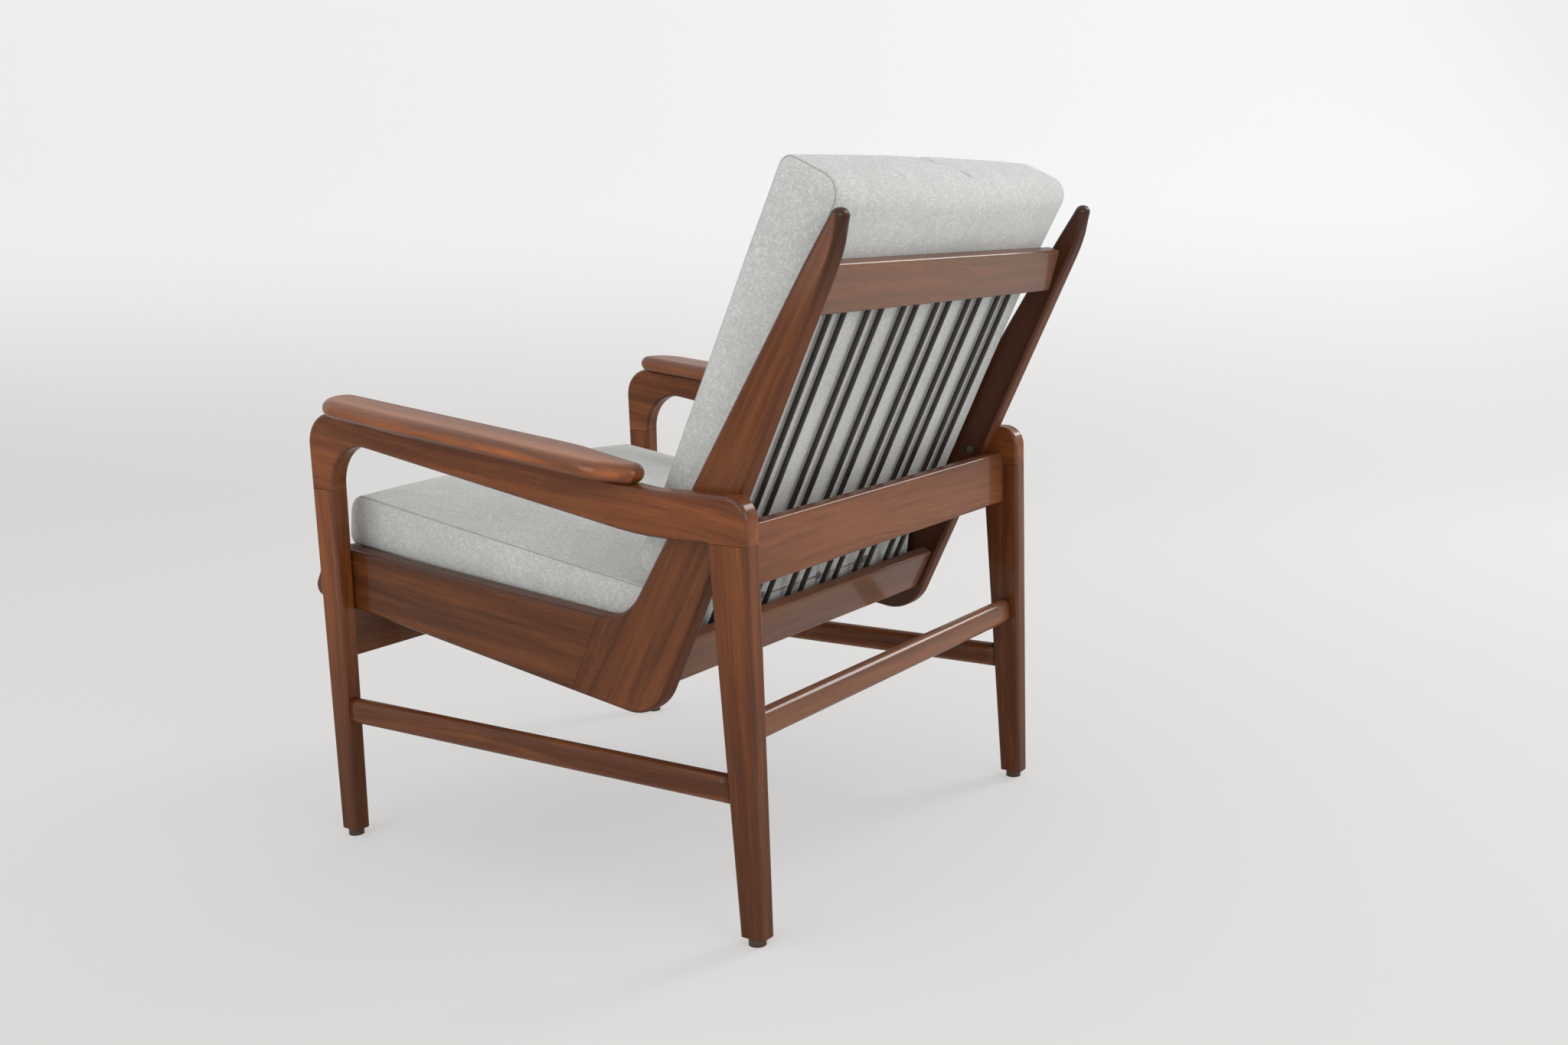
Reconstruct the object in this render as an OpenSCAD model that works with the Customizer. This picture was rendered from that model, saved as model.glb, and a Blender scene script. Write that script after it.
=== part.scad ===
// Lounge chair with a shaped hardwood frame, sleeved springs and two loose cushions.
// The chair faces -Y, its left arm is on +X and the floor is z = 0, all in millimetres.
// Side outlines are drawn as [y, z] corners, with y = 0 at the back face of the rear legs,
// and the finished chair is moved so that the origin is at the middle of its footprint.

/* [Side frames] */
// Width over the two side frames
frame_w = 650; // [600:1:720]
// Thickness of the legs and arm rails
frame_t = 25; // [22:0.5:30]
// Depth from the front leg's face to the rear leg's back
side_depth = 683; // [640:1:730]
// Width of the front leg at its foot
front_foot_w = 28; // [24:0.5:36]
// Width of the front leg under the arm rail
front_leg_top_w = 40; // [34:0.5:46]
// Width of the rear leg at its foot
rear_foot_w = 30; // [26:0.5:36]
// Width of the rear leg under the arm rail
rear_leg_top_w = 53.5; // [46:0.5:60]
// Height of the joint between front leg and arm rail
front_joint_z = 465; // [450:1:470]
// Height of the joint between rear leg and arm rail
rear_joint_z = 445.5; // [435:0.5:455]

/* [Arm rails] */
// Height of the arm rail's flat rear top
arm_rear_z = 497.5; // [485:0.5:510]
// Length of the flat rear top
arm_flat_len = 124; // [100:1:140]
// Rise of the arm's top towards the front, in degrees
arm_rise = 7.15; // [6:0.05:9]
// Length of the level underside at the rear
arm_level_len = 143.5; // [120:0.5:160]
// Rise of the arm's underside towards the front, in degrees
arm_under_rise = 9.8; // [8:0.1:11]
// Radius of the arm's rear corner
arm_rear_r = 26; // [15:1:32]
// Radius of the arm's front corner
arm_front_r = 41; // [25:1:46]
// Radius of the arch where the front leg meets the arm
arch_r = 54; // [40:1:60]
// Radius of the bend in the arm's top
arm_bend_r = 150; // [80:5:250]
// Radius of the bend in the arm's underside
arm_under_r = 400; // [200:10:500]

/* [Arm paddles] */
// Thickness of a paddle, with fully rounded edges
paddle_t = 22; // [16:1:26]
// Largest overhang of the paddle inside the side frame
paddle_in = 22; // [16:1:24]
// Overhang of the paddle inside the side frame at its front end
paddle_in_front = 16; // [12:1:22]
// Largest overhang of the paddle outside the side frame
paddle_out = 30.5; // [24:0.5:40]
// Overhang of the paddle outside the side frame near its rear end
paddle_out_rear = 25; // [18:0.5:30]
// Distance from the rear leg's back to the paddle's rear tip
paddle_rear = 150; // [140:1:160]
// Length of a paddle along the floor
paddle_len = 502; // [480:1:512]
// Length of the inner edge's taper to the rear tip
paddle_in_taper = 112; // [80:1:140]
// Length of the outer edge's taper to the rear tip
paddle_out_taper = 46; // [36:1:70]
// Width of the rear tip before it is rounded
paddle_tip_w = 24; // [22:1:34]
// Radius of the front outer corner
paddle_front_r = 46; // [30:1:54]
// Radius of the front inner corner
paddle_in_r = 18; // [14:1:26]
// Distance by which the outer edge comes in again at the front end
paddle_front_draw = 4.6; // [0:0.2:8]
// Distance from the front end to the paddle's widest place
paddle_wide = 167; // [120:1:220]
// Radius of the rear tip's two corners
paddle_tip_r = 13.2; // [11.5:0.1:14]

/* [Seat panels] */
// Thickness of the boomerang panels
panel_t = 25; // [22:0.5:30]
// Rise of the seat towards the front, in degrees
seat_rise = 9; // [7:0.25:11]
// Distance from the rear leg's back to the heel's square corner
heel_y = 157.5; // [150:0.5:166]
// Height of the heel's square corner
heel_z = 227.5; // [220:0.5:240]
// Radius of the heel
heel_r = 55; // [35:1:65]
// Overhang of the panels' lower front corner in front of the front leg's face
panel_front_over = 49; // [30:1:60]
// Height of the panel's upper front corner
panel_front_z = 388; // [380:1:396]
// Lean of the panel's front end, in degrees
panel_front_lean = 28.5; // [10:0.5:35]
// Radius of the lower front corner
panel_front_r = 15; // [8:1:24]
// Radius of the upper front corner
panel_nose_r = 12; // [6:1:20]
// Rise of the panel's top edge, in degrees
panel_top_rise = 5.6; // [4:0.1:7]
// Radius of the inner corner between seat and back
panel_inner_r = 64; // [45:1:75]

/* [Back stiles] */
// Lean of the stile's back edge, in degrees
stile_back_lean = 26.5; // [24:0.1:29]
// Lean of the stile's front edge, in degrees
stile_front_lean = 33; // [31.5:0.1:34.5]
// Distance from the rear leg's back to the stile's front edge at the horn, backwards
horn_front_y = 95; // [88:0.5:102]
// Height at which that distance is taken
horn_front_z = 784.5; // [770:0.5:800]
// Lean of the horn's back edge, in degrees
horn_back_lean = 17; // [12:0.5:21]
// Radius of the horn's tip
horn_tip_r = 8; // [7:0.5:9]
// Height of the middle of the horn's round tip
horn_z = 779; // [772:0.5:786]
// Radius of the bend in the horn's back edge
horn_bend_r = 120; // [60:5:200]
// Distance of the seat and stile joint in front of the inner corner
panel_joint_len = 38; // [34:1:60]

/* [Rails and stretchers] */
// Lean of the springs in the back, in degrees
back_lean = 26.3; // [24:0.1:28]
// Height at which the springs' back face meets the top rail
top_rail_z = 685; // [670:1:700]
// Height of the top back rail along its face
top_rail_h = 54; // [44:1:60]
// Thickness of the top back rail
top_rail_t = 18; // [15:0.5:22]
// Lean of the top back rail, in degrees
top_rail_lean = 17; // [14:0.5:22]
// Height of the lower back rail's upper front edge
low_rail_z = 327.5; // [320:0.5:335]
// Height of the lower back rail along its face
low_rail_h = 60; // [50:1:66]
// Thickness of the lower back rail
low_rail_t = 16; // [13:0.5:20]
// Distance from the rear leg's back to the springs' back face at the top rail, backwards
spring_face_y = 41.8; // [36:0.1:46]
// Thickness of the rear crossbar
cross_t = 18; // [15:0.5:20]
// Height of the rear crossbar's underside
cross_z = 393.5; // [385:0.5:400]
// Height of the rear crossbar
cross_h = 68.5; // [60:0.5:70]
// Setback of the rear crossbar from the rear leg's back
cross_set = 22; // [20:0.5:26]
// Thickness of the front crossbar
front_cross_t = 20; // [16:0.5:22]
// Height of the front crossbar's underside
front_cross_z = 242.5; // [236:0.5:256]
// Setback of the front crossbar from the front leg's face
front_cross_set = 8; // [6:0.5:10]
// Height of an oval stretcher
stretcher_h = 33; // [28:0.5:36]
// Width of an oval stretcher
stretcher_w = 20; // [16:0.5:22]
// Height of the side stretchers' middle
side_stretcher_z = 173; // [160:1:190]
// Height of the rear stretcher's middle
rear_stretcher_z = 241.5; // [230:0.5:260]
// Distance of the rear stretcher's middle from the rear leg's back
rear_stretcher_y = 22; // [18:0.5:24]
// Thickness of the seat front rail
seat_rail_t = 20; // [16:0.5:24]
// Depth of the seat front rail under the cushion
seat_rail_h = 62; // [50:1:66]
// Height of the seat battens
batten_h = 22; // [18:1:28]
// Width of the seat battens
batten_w = 18; // [16:1:24]

/* [Joints and fixings] */
// Diameter of a dowel
dowel_d = 8; // [6:1:8]
// Length of a dowel
dowel_len = 30; // [26:1:32]
// Distance of the outer dowels from a rail's edges
dowel_in = 13; // [12:0.5:14]
// Diameter of a stretcher's round tenon
tenon_d = 14; // [10:1:15]
// Length of a stretcher's round tenon
tenon_len = 12; // [8:1:16]
// Clearance around dowels, tenons and screws, on the radius
fit_gap = 0.05; // [0.03:0.01:0.1]
// Diameter of the stile screws
stile_screw_d = 6; // [4:0.5:7]
// Length of the stile screws under the head
stile_screw_len = 44; // [35:1:46]
// Distance of the front stile screw from the rear leg's back
stile_screw_y = 82; // [78:0.5:84]
// Height of the front stile screw
stile_screw_z = 474.5; // [472:0.5:478]
// Distance from the front to the rear stile screw
stile_screw_pitch = 26; // [22:0.5:28]
// Drop from the front to the rear stile screw
stile_screw_drop = 6; // [4:0.5:8]
// Diameter of the eye screws
eye_screw_d = 3.5; // [3:0.1:4]
// Length of the eye screws under the head
eye_screw_len = 14; // [10:1:15]
// Diameter of a floor glide
glide_d = 20; // [16:0.5:22]
// Height of a floor glide
glide_h = 9; // [6:0.5:12]
// Length of the glide's nail
nail_len = 16; // [10:1:20]

/* [Springs] */
// Diameter of a spring with its sleeve
spring_d = 6.5; // [5:0.1:8]
// Diameter of the wire of the end eyes
wire_d = 2.5; // [2:0.1:2.8]
// Pairs of springs in the back
back_pairs = 6; // [4:1:6]
// Distance between the pairs
pair_pitch = 78; // [72:0.5:84]
// Distance between the two springs of a pair
pair_gap = 28.5; // [20:0.5:34]
// Springs under the seat
seat_springs = 8; // [6:1:8]
// Distance of the foremost seat spring from the seat front rail
seat_spring_end = 46; // [36:1:60]
// Distance of the rearmost seat spring from the cushion's rear end
seat_spring_start = 45; // [40:1:52]

/* [Seat cushion] */
// Gap between a cushion and the panel or stile on either side
cushion_gap = 3; // [1:0.5:8]
// Distance of the cushion's front end behind the panels' upper front corner, along the seat
seat_nose_set = 5.8; // [4:0.1:20]
// Height of the seat cushion's side panels
seat_h = 70; // [60:1:75]
// Rise of the seat cushion's crown
seat_crown = 25; // [10:1:28]
// Height of the seat cushion's underside above the heel's square corner
seat_under = 70; // [68:0.5:74]
// Gap between the cushion's rear end and the springs of the back
seat_rear_gap = 1; // [0.5:0.1:4]

/* [Back cushion] */
// Length of the back cushion's side panels
back_len = 501; // [480:1:510]
// Thickness of the back cushion's side panels
back_h = 81; // [70:1:84]
// Rise of the crown on its front
back_crown = 14; // [6:1:18]
// Lift of its lower end over the seat cushion's rear edge
back_lift = 3.8; // [3.6:0.1:8]

/* [Cushion making] */
// Swell of a side panel inside its seam
side_swell = 4; // [2:0.5:6]
// Swell of a cushion's two ends
end_swell = 5; // [2:0.5:7]
// Radius of the side panels' sharper corners
panel_corner_r = 15; // [10:1:20]
// Radius of the side panels' softer corners
soft_corner_r = 25; // [18:1:30]
// Depth of a seam
seam_depth = 2; // [1:0.5:3]
// Wadding and cover around the foam
wadding_t = 13; // [12:0.5:18]
// Clearance of a cushion to what it rests on
rest_gap = 0.3; // [0.2:0.05:0.5]
// Length of a cushion's zip
zip_len = 300; // [200:5:380]
// Width of a zip's tape
zip_w = 9; // [6:0.5:14]

/* [Hidden] */
// Largest turn of one chord in a drawn arc, in degrees
arc_step = 7;
paddle_step = 16;
paddle_bend_r = 300;
round_fn = 64;
ball_fn = 24;
// Extra depth of a blind hole
hole_end = 0.5;
half_w = frame_w / 2;
frame_x = half_w - frame_t;
panel_x = frame_x - panel_t;
frame_mid_x = half_w - frame_t / 2;
panel_mid_x = frame_x - panel_t / 2;
panel_front_y = side_depth + panel_front_over;
cushion_w = 2 * (panel_x - cushion_gap);

function unit(v) = v / norm(v);
// Direction at an angle above the level, towards the front
function ahead(a) = [-cos(a), sin(a)];
// Direction of an upright line that leans backwards by an angle
function lean(a) = [sin(a), cos(a)];
// Point where the line through p along u meets the line through q along v
function meet(p, u, q, v) = p + u * ((q - p).x * v.y - (q - p).y * v.x) / (u.x * v.y - u.y * v.x);
// Points that turn the corner p between its neighbours a and b with radius r
function turn(a, p, b, r, step = arc_step) =
    r <= 0 ? [p] :
    let (u = unit(a - p),
         v = unit(b - p),
         half = acos(u * v) / 2,
         c = p + unit(u + v) * r / sin(half),
         s = p + u * r / tan(half) - c,
         e = p + v * r / tan(half) - c,
         start = atan2(s.y, s.x),
         turned = atan2(e.y, e.x) - start,
         sweep = turned > 180 ? turned - 360 : turned < -180 ? turned + 360 : turned,
         n = max(2, ceil(abs(sweep) / step)))
    [for (i = [0:n]) c + r * [cos(start + sweep * i / n), sin(start + sweep * i / n)]];
// Closed outline through corners, each given as [point, radius]
function outline(corners, step = arc_step) =
    let (n = len(corners))
    [for (i = [0:n - 1])
        each turn(corners[(i + n - 1) % n][0], corners[i][0], corners[(i + 1) % n][0], corners[i][1], step)];
// Closed outline moved inwards by a distance, for outlines that run towards -x from +y
function shrunk(points, by) =
    let (n = len(points))
    [for (i = [0:n - 1])
        let (t = unit(points[(i + 1) % n] - points[(i + n - 1) % n]))
        points[i] + by * [-t.y, t.x]];

// Rear leg and front leg edges at a height
function rear_leg_front(z) =
    -rear_foot_w - (rear_leg_top_w - rear_foot_w) * (z - glide_h) / (rear_joint_z - glide_h);
function front_leg_back(z) =
    -side_depth + front_foot_w + (front_leg_top_w - front_foot_w) * (z - glide_h) / (front_joint_z - glide_h);
// Height of the arm rail's top where it rises
function arm_top(y) = arm_rear_z + tan(arm_rise) * (-arm_flat_len - y);
arm_front_corner = [-side_depth, arm_top(-side_depth)];
arm_knee = [-arm_flat_len, arm_rear_z];
arm_under_knee = [-arm_level_len, rear_joint_z];
front_leg_foot = [front_leg_back(glide_h), glide_h];
front_leg_joint = [front_leg_back(front_joint_z), front_joint_z];
arch_corner = meet(front_leg_foot, front_leg_joint - front_leg_foot, arm_under_knee, ahead(arm_under_rise));
arm_corners = [
    [[0, rear_joint_z], 0],
    [[0, arm_rear_z], arm_rear_r],
    [arm_knee, arm_bend_r],
    [arm_front_corner, arm_front_r],
    [[-side_depth, front_joint_z], 0],
    [front_leg_joint, 0],
    [arch_corner, arch_r],
    [arm_under_knee, arm_under_r]];

// Boomerang panel: one outline, cut in two along the joint between seat and stile
heel = [-heel_y, heel_z];
stile_front = [horn_front_y, horn_front_z];
panel_low_front = meet(heel, ahead(seat_rise), [-panel_front_y, 0], [0, 1]);
panel_nose = meet(panel_low_front, lean(panel_front_lean), [0, panel_front_z], [1, 0]);
panel_inner = meet(panel_nose, ahead(panel_top_rise), stile_front, lean(stile_front_lean));
horn_edge_y = horn_front_y + (horn_z - horn_front_z) * tan(stile_front_lean);
horn_mid = [horn_edge_y + horn_tip_r / cos(stile_front_lean), horn_z];
horn_back = horn_mid + horn_tip_r * [cos(horn_back_lean), -sin(horn_back_lean)];
horn_bend = meet(heel, lean(stile_back_lean), horn_back, lean(horn_back_lean));
horn_point = meet(stile_front, lean(stile_front_lean), horn_back, lean(horn_back_lean));
panel_corners = [
    [panel_low_front, panel_front_r],
    [heel, heel_r],
    [horn_bend, horn_bend_r],
    [horn_point, horn_tip_r],
    [panel_inner, panel_inner_r],
    [panel_nose, panel_nose_r]];
panel_outline = outline(panel_corners);
joint_top = panel_inner + panel_joint_len * ahead(panel_top_rise);
joint_dir = lean(stile_back_lean);
joint_low = meet(joint_top, joint_dir, heel, ahead(seat_rise));
joint_mid = (joint_top + joint_low) / 2;

// The footprint's middle goes to the origin
y_front = min([for (p = panel_outline) p.x]);
y_back = max([for (p = panel_outline) p.x]);
y_mid = -(y_front + y_back) / 2;

// Back: distances along the springs and out of the plane of their back faces
spring_up = lean(back_lean);
spring_out = [-cos(back_lean), sin(back_lean)];
spring_face = [spring_face_y, top_rail_z];
function back_at(s, out) = spring_face + s * spring_up + out * spring_out;
top_rail_up = lean(top_rail_lean);
top_rail_back = [cos(top_rail_lean), -sin(top_rail_lean)];
top_rail_corners = [
    [spring_face, 0],
    [spring_face + top_rail_h * top_rail_up, 0],
    [spring_face + top_rail_h * top_rail_up + top_rail_t * top_rail_back, 0],
    [spring_face + top_rail_t * top_rail_back, 0]];
low_rail_s = (low_rail_z - top_rail_z) / cos(back_lean);
low_rail_corners = [
    [back_at(low_rail_s, 0), 0],
    [back_at(low_rail_s, -low_rail_t), 0],
    [back_at(low_rail_s - low_rail_h, -low_rail_t), 0],
    [back_at(low_rail_s - low_rail_h, 0), 0]];
spring_r = spring_d / 2;
wire_r = wire_d / 2;
shank_r = wire_r - 0.25;
spring_set = 0.2;
spring_axis = spring_set + spring_r;
wire_axis = spring_set + wire_r;
eye_r = eye_screw_d / 2 + fit_gap + wire_r + 0.3;
eye_from_edge = 14;
sleeve_lap = 15;
shank_lap = 3;
eye_lap = 0.2;
sleeve_end = 2;
screw_head_r = 4;
screw_head_h = 1.9;
stile_head_r = 5;
stile_head_h = 3;
back_spring_x = [for (i = [0:back_pairs - 1], side = [-1, 1])
    (i - (back_pairs - 1) / 2) * pair_pitch + side * pair_gap / 2];
top_eye = spring_face + eye_from_edge * top_rail_up - wire_axis * top_rail_back;
low_eye = back_at(low_rail_s - sleeve_lap - eye_from_edge, wire_axis);

// Seat: distances along the cushion from its rear end, and up from its flat underside
seat_ahead = ahead(seat_rise);
seat_up = [sin(seat_rise), cos(seat_rise)];
seat_base = heel + seat_under * seat_up;
seat_rear_line = back_at(0, spring_set + spring_d + seat_rear_gap);
seat_rear = meet(seat_base, seat_ahead, seat_rear_line, spring_up);
function seat_at(s, up) = seat_rear + s * seat_ahead + up * seat_up;
seat_len = (panel_nose - seat_rear) * seat_ahead - seat_nose_set;
seat_spring_axis = -rest_gap - spring_r;
batten_top = seat_spring_axis - wire_r - spring_set;
batten_rear = 14;
seat_rail_s = seat_len - seat_rail_t;
batten_front = seat_rail_s - rest_gap;
seat_eye_x = panel_x - batten_w / 2;
seat_sleeve_x = panel_x - batten_w - sleeve_end;
seat_spring_pitch = (seat_rail_s - seat_spring_start - seat_spring_end) / (seat_springs - 1);
seat_spring_s = [for (i = [0:seat_springs - 1]) seat_spring_start + i * seat_spring_pitch];

// Back cushion: from its lower end upwards, and forwards from its flat back
cushion_out = top_rail_h * sin(back_lean - top_rail_lean) + rest_gap;
seat_top_rear = seat_at(0, seat_h);
cushion_low_s = (seat_top_rear - spring_face) * spring_up + back_lift;

// Dowels and tenons, each as [middle, direction]
function across(side, x, p) = [[side * x, p.x, p.y], [1, 0, 0]];
function in_side(side, x, p, dir) = [[side * x, p.x, p.y], [0, dir.x, dir.y]];
sides = [-1, 1];
leg_dowel_in = 11;
paddle_r = paddle_t / 2;
paddle_front = -paddle_rear - paddle_len;
cross_dowel_z = [12, 30];
front_cross_dowel_z = [14, 44];
panel_dowel_out = 24;
paddle_dowel_rear = 90;
paddle_dowel_front = 110;
paddle_dowel_drop = 4;
rear_arm_dowels = [for (side = sides, y = [-dowel_in, -rear_leg_top_w + dowel_in])
    in_side(side, frame_mid_x, [y, rear_joint_z], [0, 1])];
front_arm_dowels = [for (side = sides, y = [leg_dowel_in, front_leg_top_w - leg_dowel_in])
    in_side(side, frame_mid_x, [y - side_depth, front_joint_z], [0, 1])];
top_rail_mid = spring_face + top_rail_h / 2 * top_rail_up + top_rail_t / 2 * top_rail_back;
top_rail_dowels = [for (side = sides, k = [-1, 1])
    across(side, panel_x, top_rail_mid + k * (top_rail_h / 2 - dowel_in) * top_rail_up)];
low_rail_mid = back_at(low_rail_s - low_rail_h / 2, -low_rail_t / 2);
low_rail_dowels = [for (side = sides, k = [-1, 1])
    across(side, panel_x, low_rail_mid + k * (low_rail_h / 2 - dowel_in) * spring_up)];
cross_dowels = [for (side = sides, z = cross_dowel_z)
    across(side, frame_x, [-cross_set - cross_t / 2, cross_z + z])];
front_cross_y = -side_depth + front_cross_set;
front_cross_dowels = [for (side = sides, z = front_cross_dowel_z)
    across(side, frame_x, [front_cross_y + front_cross_t / 2, front_cross_z + z])];
seat_rail_dowels = [for (side = sides, drop = [dowel_in, seat_rail_h - dowel_in])
    across(side, panel_x, seat_at(seat_rail_s + seat_rail_t / 2, -drop))];
joint_cross = [joint_dir.y, -joint_dir.x];
panel_dowels = [for (side = sides, k = [-1, 1])
    in_side(side, panel_mid_x, joint_mid + k * panel_dowel_out * joint_dir, joint_cross)];
arm_normal = [sin(arm_rise), cos(arm_rise)];
paddle_dowels = [for (side = sides, y = [-paddle_rear - paddle_dowel_rear, paddle_front + paddle_dowel_front])
    in_side(side, frame_mid_x, [y, arm_top(y)] - paddle_dowel_drop * arm_normal, arm_normal)];
stile_screw_points = [[-stile_screw_y, stile_screw_z],
    [-stile_screw_y + stile_screw_pitch, stile_screw_z - stile_screw_drop]];
nail_r = 1.75;
glide_y = [-side_depth + front_foot_w / 2, -rear_foot_w / 2];

back_spring_names = [for (i = [1:2 * back_pairs]) str("back_spring_", i)];
seat_spring_names = [for (i = [1:seat_springs]) str("seat_spring_", i)];

wood = "#7a4a33";
dark_wood = "#5d3a2b";
fabric = "#b9b7b1";

// Moves what is drawn from the rear leg's back to the footprint's middle
module placed() {
    translate([0, y_mid, 0]) children();
}
// Draws for the left side, or mirrored for the right one
module on(side) {
    if (side > 0) children();
    else mirror([1, 0, 0]) children();
}
// Board with a side outline, from x0 inwards or outwards by its thickness
module board(corners, x0, t) {
    translate([x0, 0, 0]) rotate([90, 0, 90]) linear_extrude(t) polygon(outline(corners));
}
// Turns +Z into a direction
module along(dir) {
    rotate([0, acos(dir.z / norm(dir)), atan2(dir.y, dir.x)]) children();
}
// Round bar between two points
module rod(p, q, r) {
    translate(p) along(q - p) cylinder(h = norm(q - p), r = r, $fn = round_fn);
}
// Point of a side view at a given x
function at_x(x, p) = [x, p.x, p.y];

module dowel_set(list, gap = 0) {
    len_here = gap > 0 ? dowel_len + 2 * hole_end : dowel_len;
    for (d = list)
        translate(d[0]) along(d[1])
            cylinder(h = len_here, d = dowel_d + 2 * gap, center = true, $fn = round_fn);
}
module nail_hole(y) {
    translate([frame_mid_x, y, glide_h - hole_end])
        cylinder(h = nail_len + 2 * hole_end, r = nail_r + fit_gap, $fn = round_fn);
}

module front_leg(side) {
    color(wood) placed() difference() {
        on(side) difference() {
            board([[[-side_depth, glide_h], 0], [front_leg_foot, 0], [front_leg_joint, 0],
                   [[-side_depth, front_joint_z], 0]], frame_x, frame_t);
            tenon_hole(front_leg_back(side_stretcher_z));
            nail_hole(glide_y[0]);
        }
        dowel_set(front_arm_dowels, fit_gap);
        dowel_set(front_cross_dowels, fit_gap);
    }
}
module rear_leg(side) {
    color(wood) placed() difference() {
        on(side) difference() {
            board([[[-rear_foot_w, glide_h], 0], [[0, glide_h], 0], [[0, rear_joint_z], 0],
                   [[-rear_leg_top_w, rear_joint_z], 0]], frame_x, frame_t);
            tenon_hole(rear_leg_front(side_stretcher_z));
            nail_hole(glide_y[1]);
            translate([frame_x, -rear_stretcher_y, rear_stretcher_z]) rotate([0, 90, 0]) tenon_bore();
        }
        dowel_set(rear_arm_dowels, fit_gap);
        dowel_set(cross_dowels, fit_gap);
    }
}
// Blind hole for a side stretcher's tenon in the leg whose face is at y
module tenon_hole(y) {
    translate([frame_mid_x, y, side_stretcher_z]) rotate([90, 0, 0]) tenon_bore();
}
module tenon_bore() {
    cylinder(h = 2 * (tenon_len + hole_end), d = tenon_d + 2 * fit_gap, center = true, $fn = round_fn);
}
module arm_rail(side) {
    color(wood) placed() difference() {
        on(side) difference() {
            board(arm_corners, frame_x, frame_t);
            stile_screw_holes();
        }
        dowel_set(front_arm_dowels, fit_gap);
        dowel_set(rear_arm_dowels, fit_gap);
        dowel_set(paddle_dowels, fit_gap);
    }
}
module stile_screw_holes() {
    for (p = stile_screw_points)
        translate([panel_x - 1, p.x, p.y]) rotate([0, 90, 0])
            cylinder(h = stile_screw_len + 1 + hole_end, d = stile_screw_d + 2 * fit_gap, $fn = round_fn);
}

// Paddle: balls along its outline seen from above, wrapped, so that its edges are fully round
paddle_tip_x = frame_mid_x - paddle_tip_w / 2;
paddle_corners = [
    [[frame_x - paddle_in_front, paddle_front], paddle_in_r],
    [[half_w + paddle_out - paddle_front_draw, paddle_front], paddle_front_r],
    [[half_w + paddle_out, paddle_front + paddle_wide], paddle_bend_r],
    [[half_w + paddle_out_rear, -paddle_rear - paddle_out_taper], paddle_front_r],
    [[paddle_tip_x + paddle_tip_w, -paddle_rear], paddle_tip_r],
    [[paddle_tip_x, -paddle_rear], paddle_tip_r],
    [[frame_x - paddle_in, -paddle_rear - paddle_in_taper], paddle_bend_r]];
module arm_paddle(side) {
    color(wood) placed() difference() {
        on(side)
            translate([0, 0, arm_top(0)]) rotate([-arm_rise, 0, 0])
                translate([0, 0, paddle_r]) hull() {
                    for (p = shrunk(outline(paddle_corners, paddle_step), paddle_r))
                        translate([p.x, p.y, 0]) sphere(paddle_r, $fn = ball_fn);
                }
        dowel_set(paddle_dowels, fit_gap);
    }
}

// Oval bar section: two half circles joined by a flat
module oval(w, h) {
    square([w, h - w], center = true);
    for (k = [-1, 1])
        translate([0, k * (h - w) / 2]) circle(d = w, $fn = round_fn);
}
// Side stretcher, its ends cut to the slanting faces of the legs
module side_stretcher(side) {
    low = side_stretcher_z - stretcher_h;
    high = side_stretcher_z + stretcher_h;
    y0 = front_leg_back(side_stretcher_z);
    y1 = rear_leg_front(side_stretcher_z);
    color(wood) placed() on(side) {
        intersection() {
            translate([frame_mid_x, 0, side_stretcher_z]) rotate([90, 0, 0])
                linear_extrude(side_depth) oval(stretcher_w, stretcher_h);
            board([[[front_leg_back(low), low], 0], [[rear_leg_front(low), low], 0],
                   [[rear_leg_front(high), high], 0], [[front_leg_back(high), high], 0]], frame_x, frame_t);
        }
        translate([frame_mid_x, y1 + tenon_len, side_stretcher_z]) rotate([90, 0, 0])
            cylinder(h = y1 - y0 + 2 * tenon_len, d = tenon_d, $fn = round_fn);
    }
}
module rear_stretcher() {
    color(wood) placed() translate([0, -rear_stretcher_y, rear_stretcher_z]) rotate([90, 0, 90]) {
        linear_extrude(2 * frame_x, center = true) oval(stretcher_w, stretcher_h);
        cylinder(h = 2 * (frame_x + tenon_len), d = tenon_d, center = true, $fn = round_fn);
    }
}

// Everything on the seat rail's side of the panel joint
module seat_half() {
    reach = 2 * side_depth;
    rotate([90, 0, 90]) linear_extrude(2 * frame_w, center = true)
        polygon([joint_top + reach * joint_dir, joint_low - reach * joint_dir,
                 joint_low - reach * joint_dir - [reach, 0], joint_top + reach * joint_dir - [2 * reach, 0]]);
}
module panel(side) {
    on(side) board(panel_corners, panel_x, panel_t);
}
module seat_side_rail(side) {
    color(wood) placed() difference() {
        intersection() {
            panel(side);
            seat_half();
        }
        dowel_set(panel_dowels, fit_gap);
        dowel_set(seat_rail_dowels, fit_gap);
    }
}
module back_stile(side) {
    color(dark_wood) placed() difference() {
        panel(side);
        seat_half();
        on(side) stile_screw_holes();
        dowel_set(panel_dowels, fit_gap);
        dowel_set(top_rail_dowels, fit_gap);
        dowel_set(low_rail_dowels, fit_gap);
    }
}
module seat_batten(side) {
    color(dark_wood) placed() on(side) difference() {
        board([[seat_at(batten_rear, batten_top), 0], [seat_at(batten_rear, batten_top - batten_h), 0],
               [seat_at(batten_front, batten_top - batten_h), 0], [seat_at(batten_front, batten_top), 0]],
              panel_x - batten_w, batten_w);
        for (s = seat_spring_s)
            rod(at_x(seat_eye_x, seat_at(s, batten_top + 1)),
                at_x(seat_eye_x, seat_at(s, batten_top + wire_d + spring_set - eye_screw_len - hole_end)),
                eye_screw_d / 2 + fit_gap);
    }
}
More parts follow.
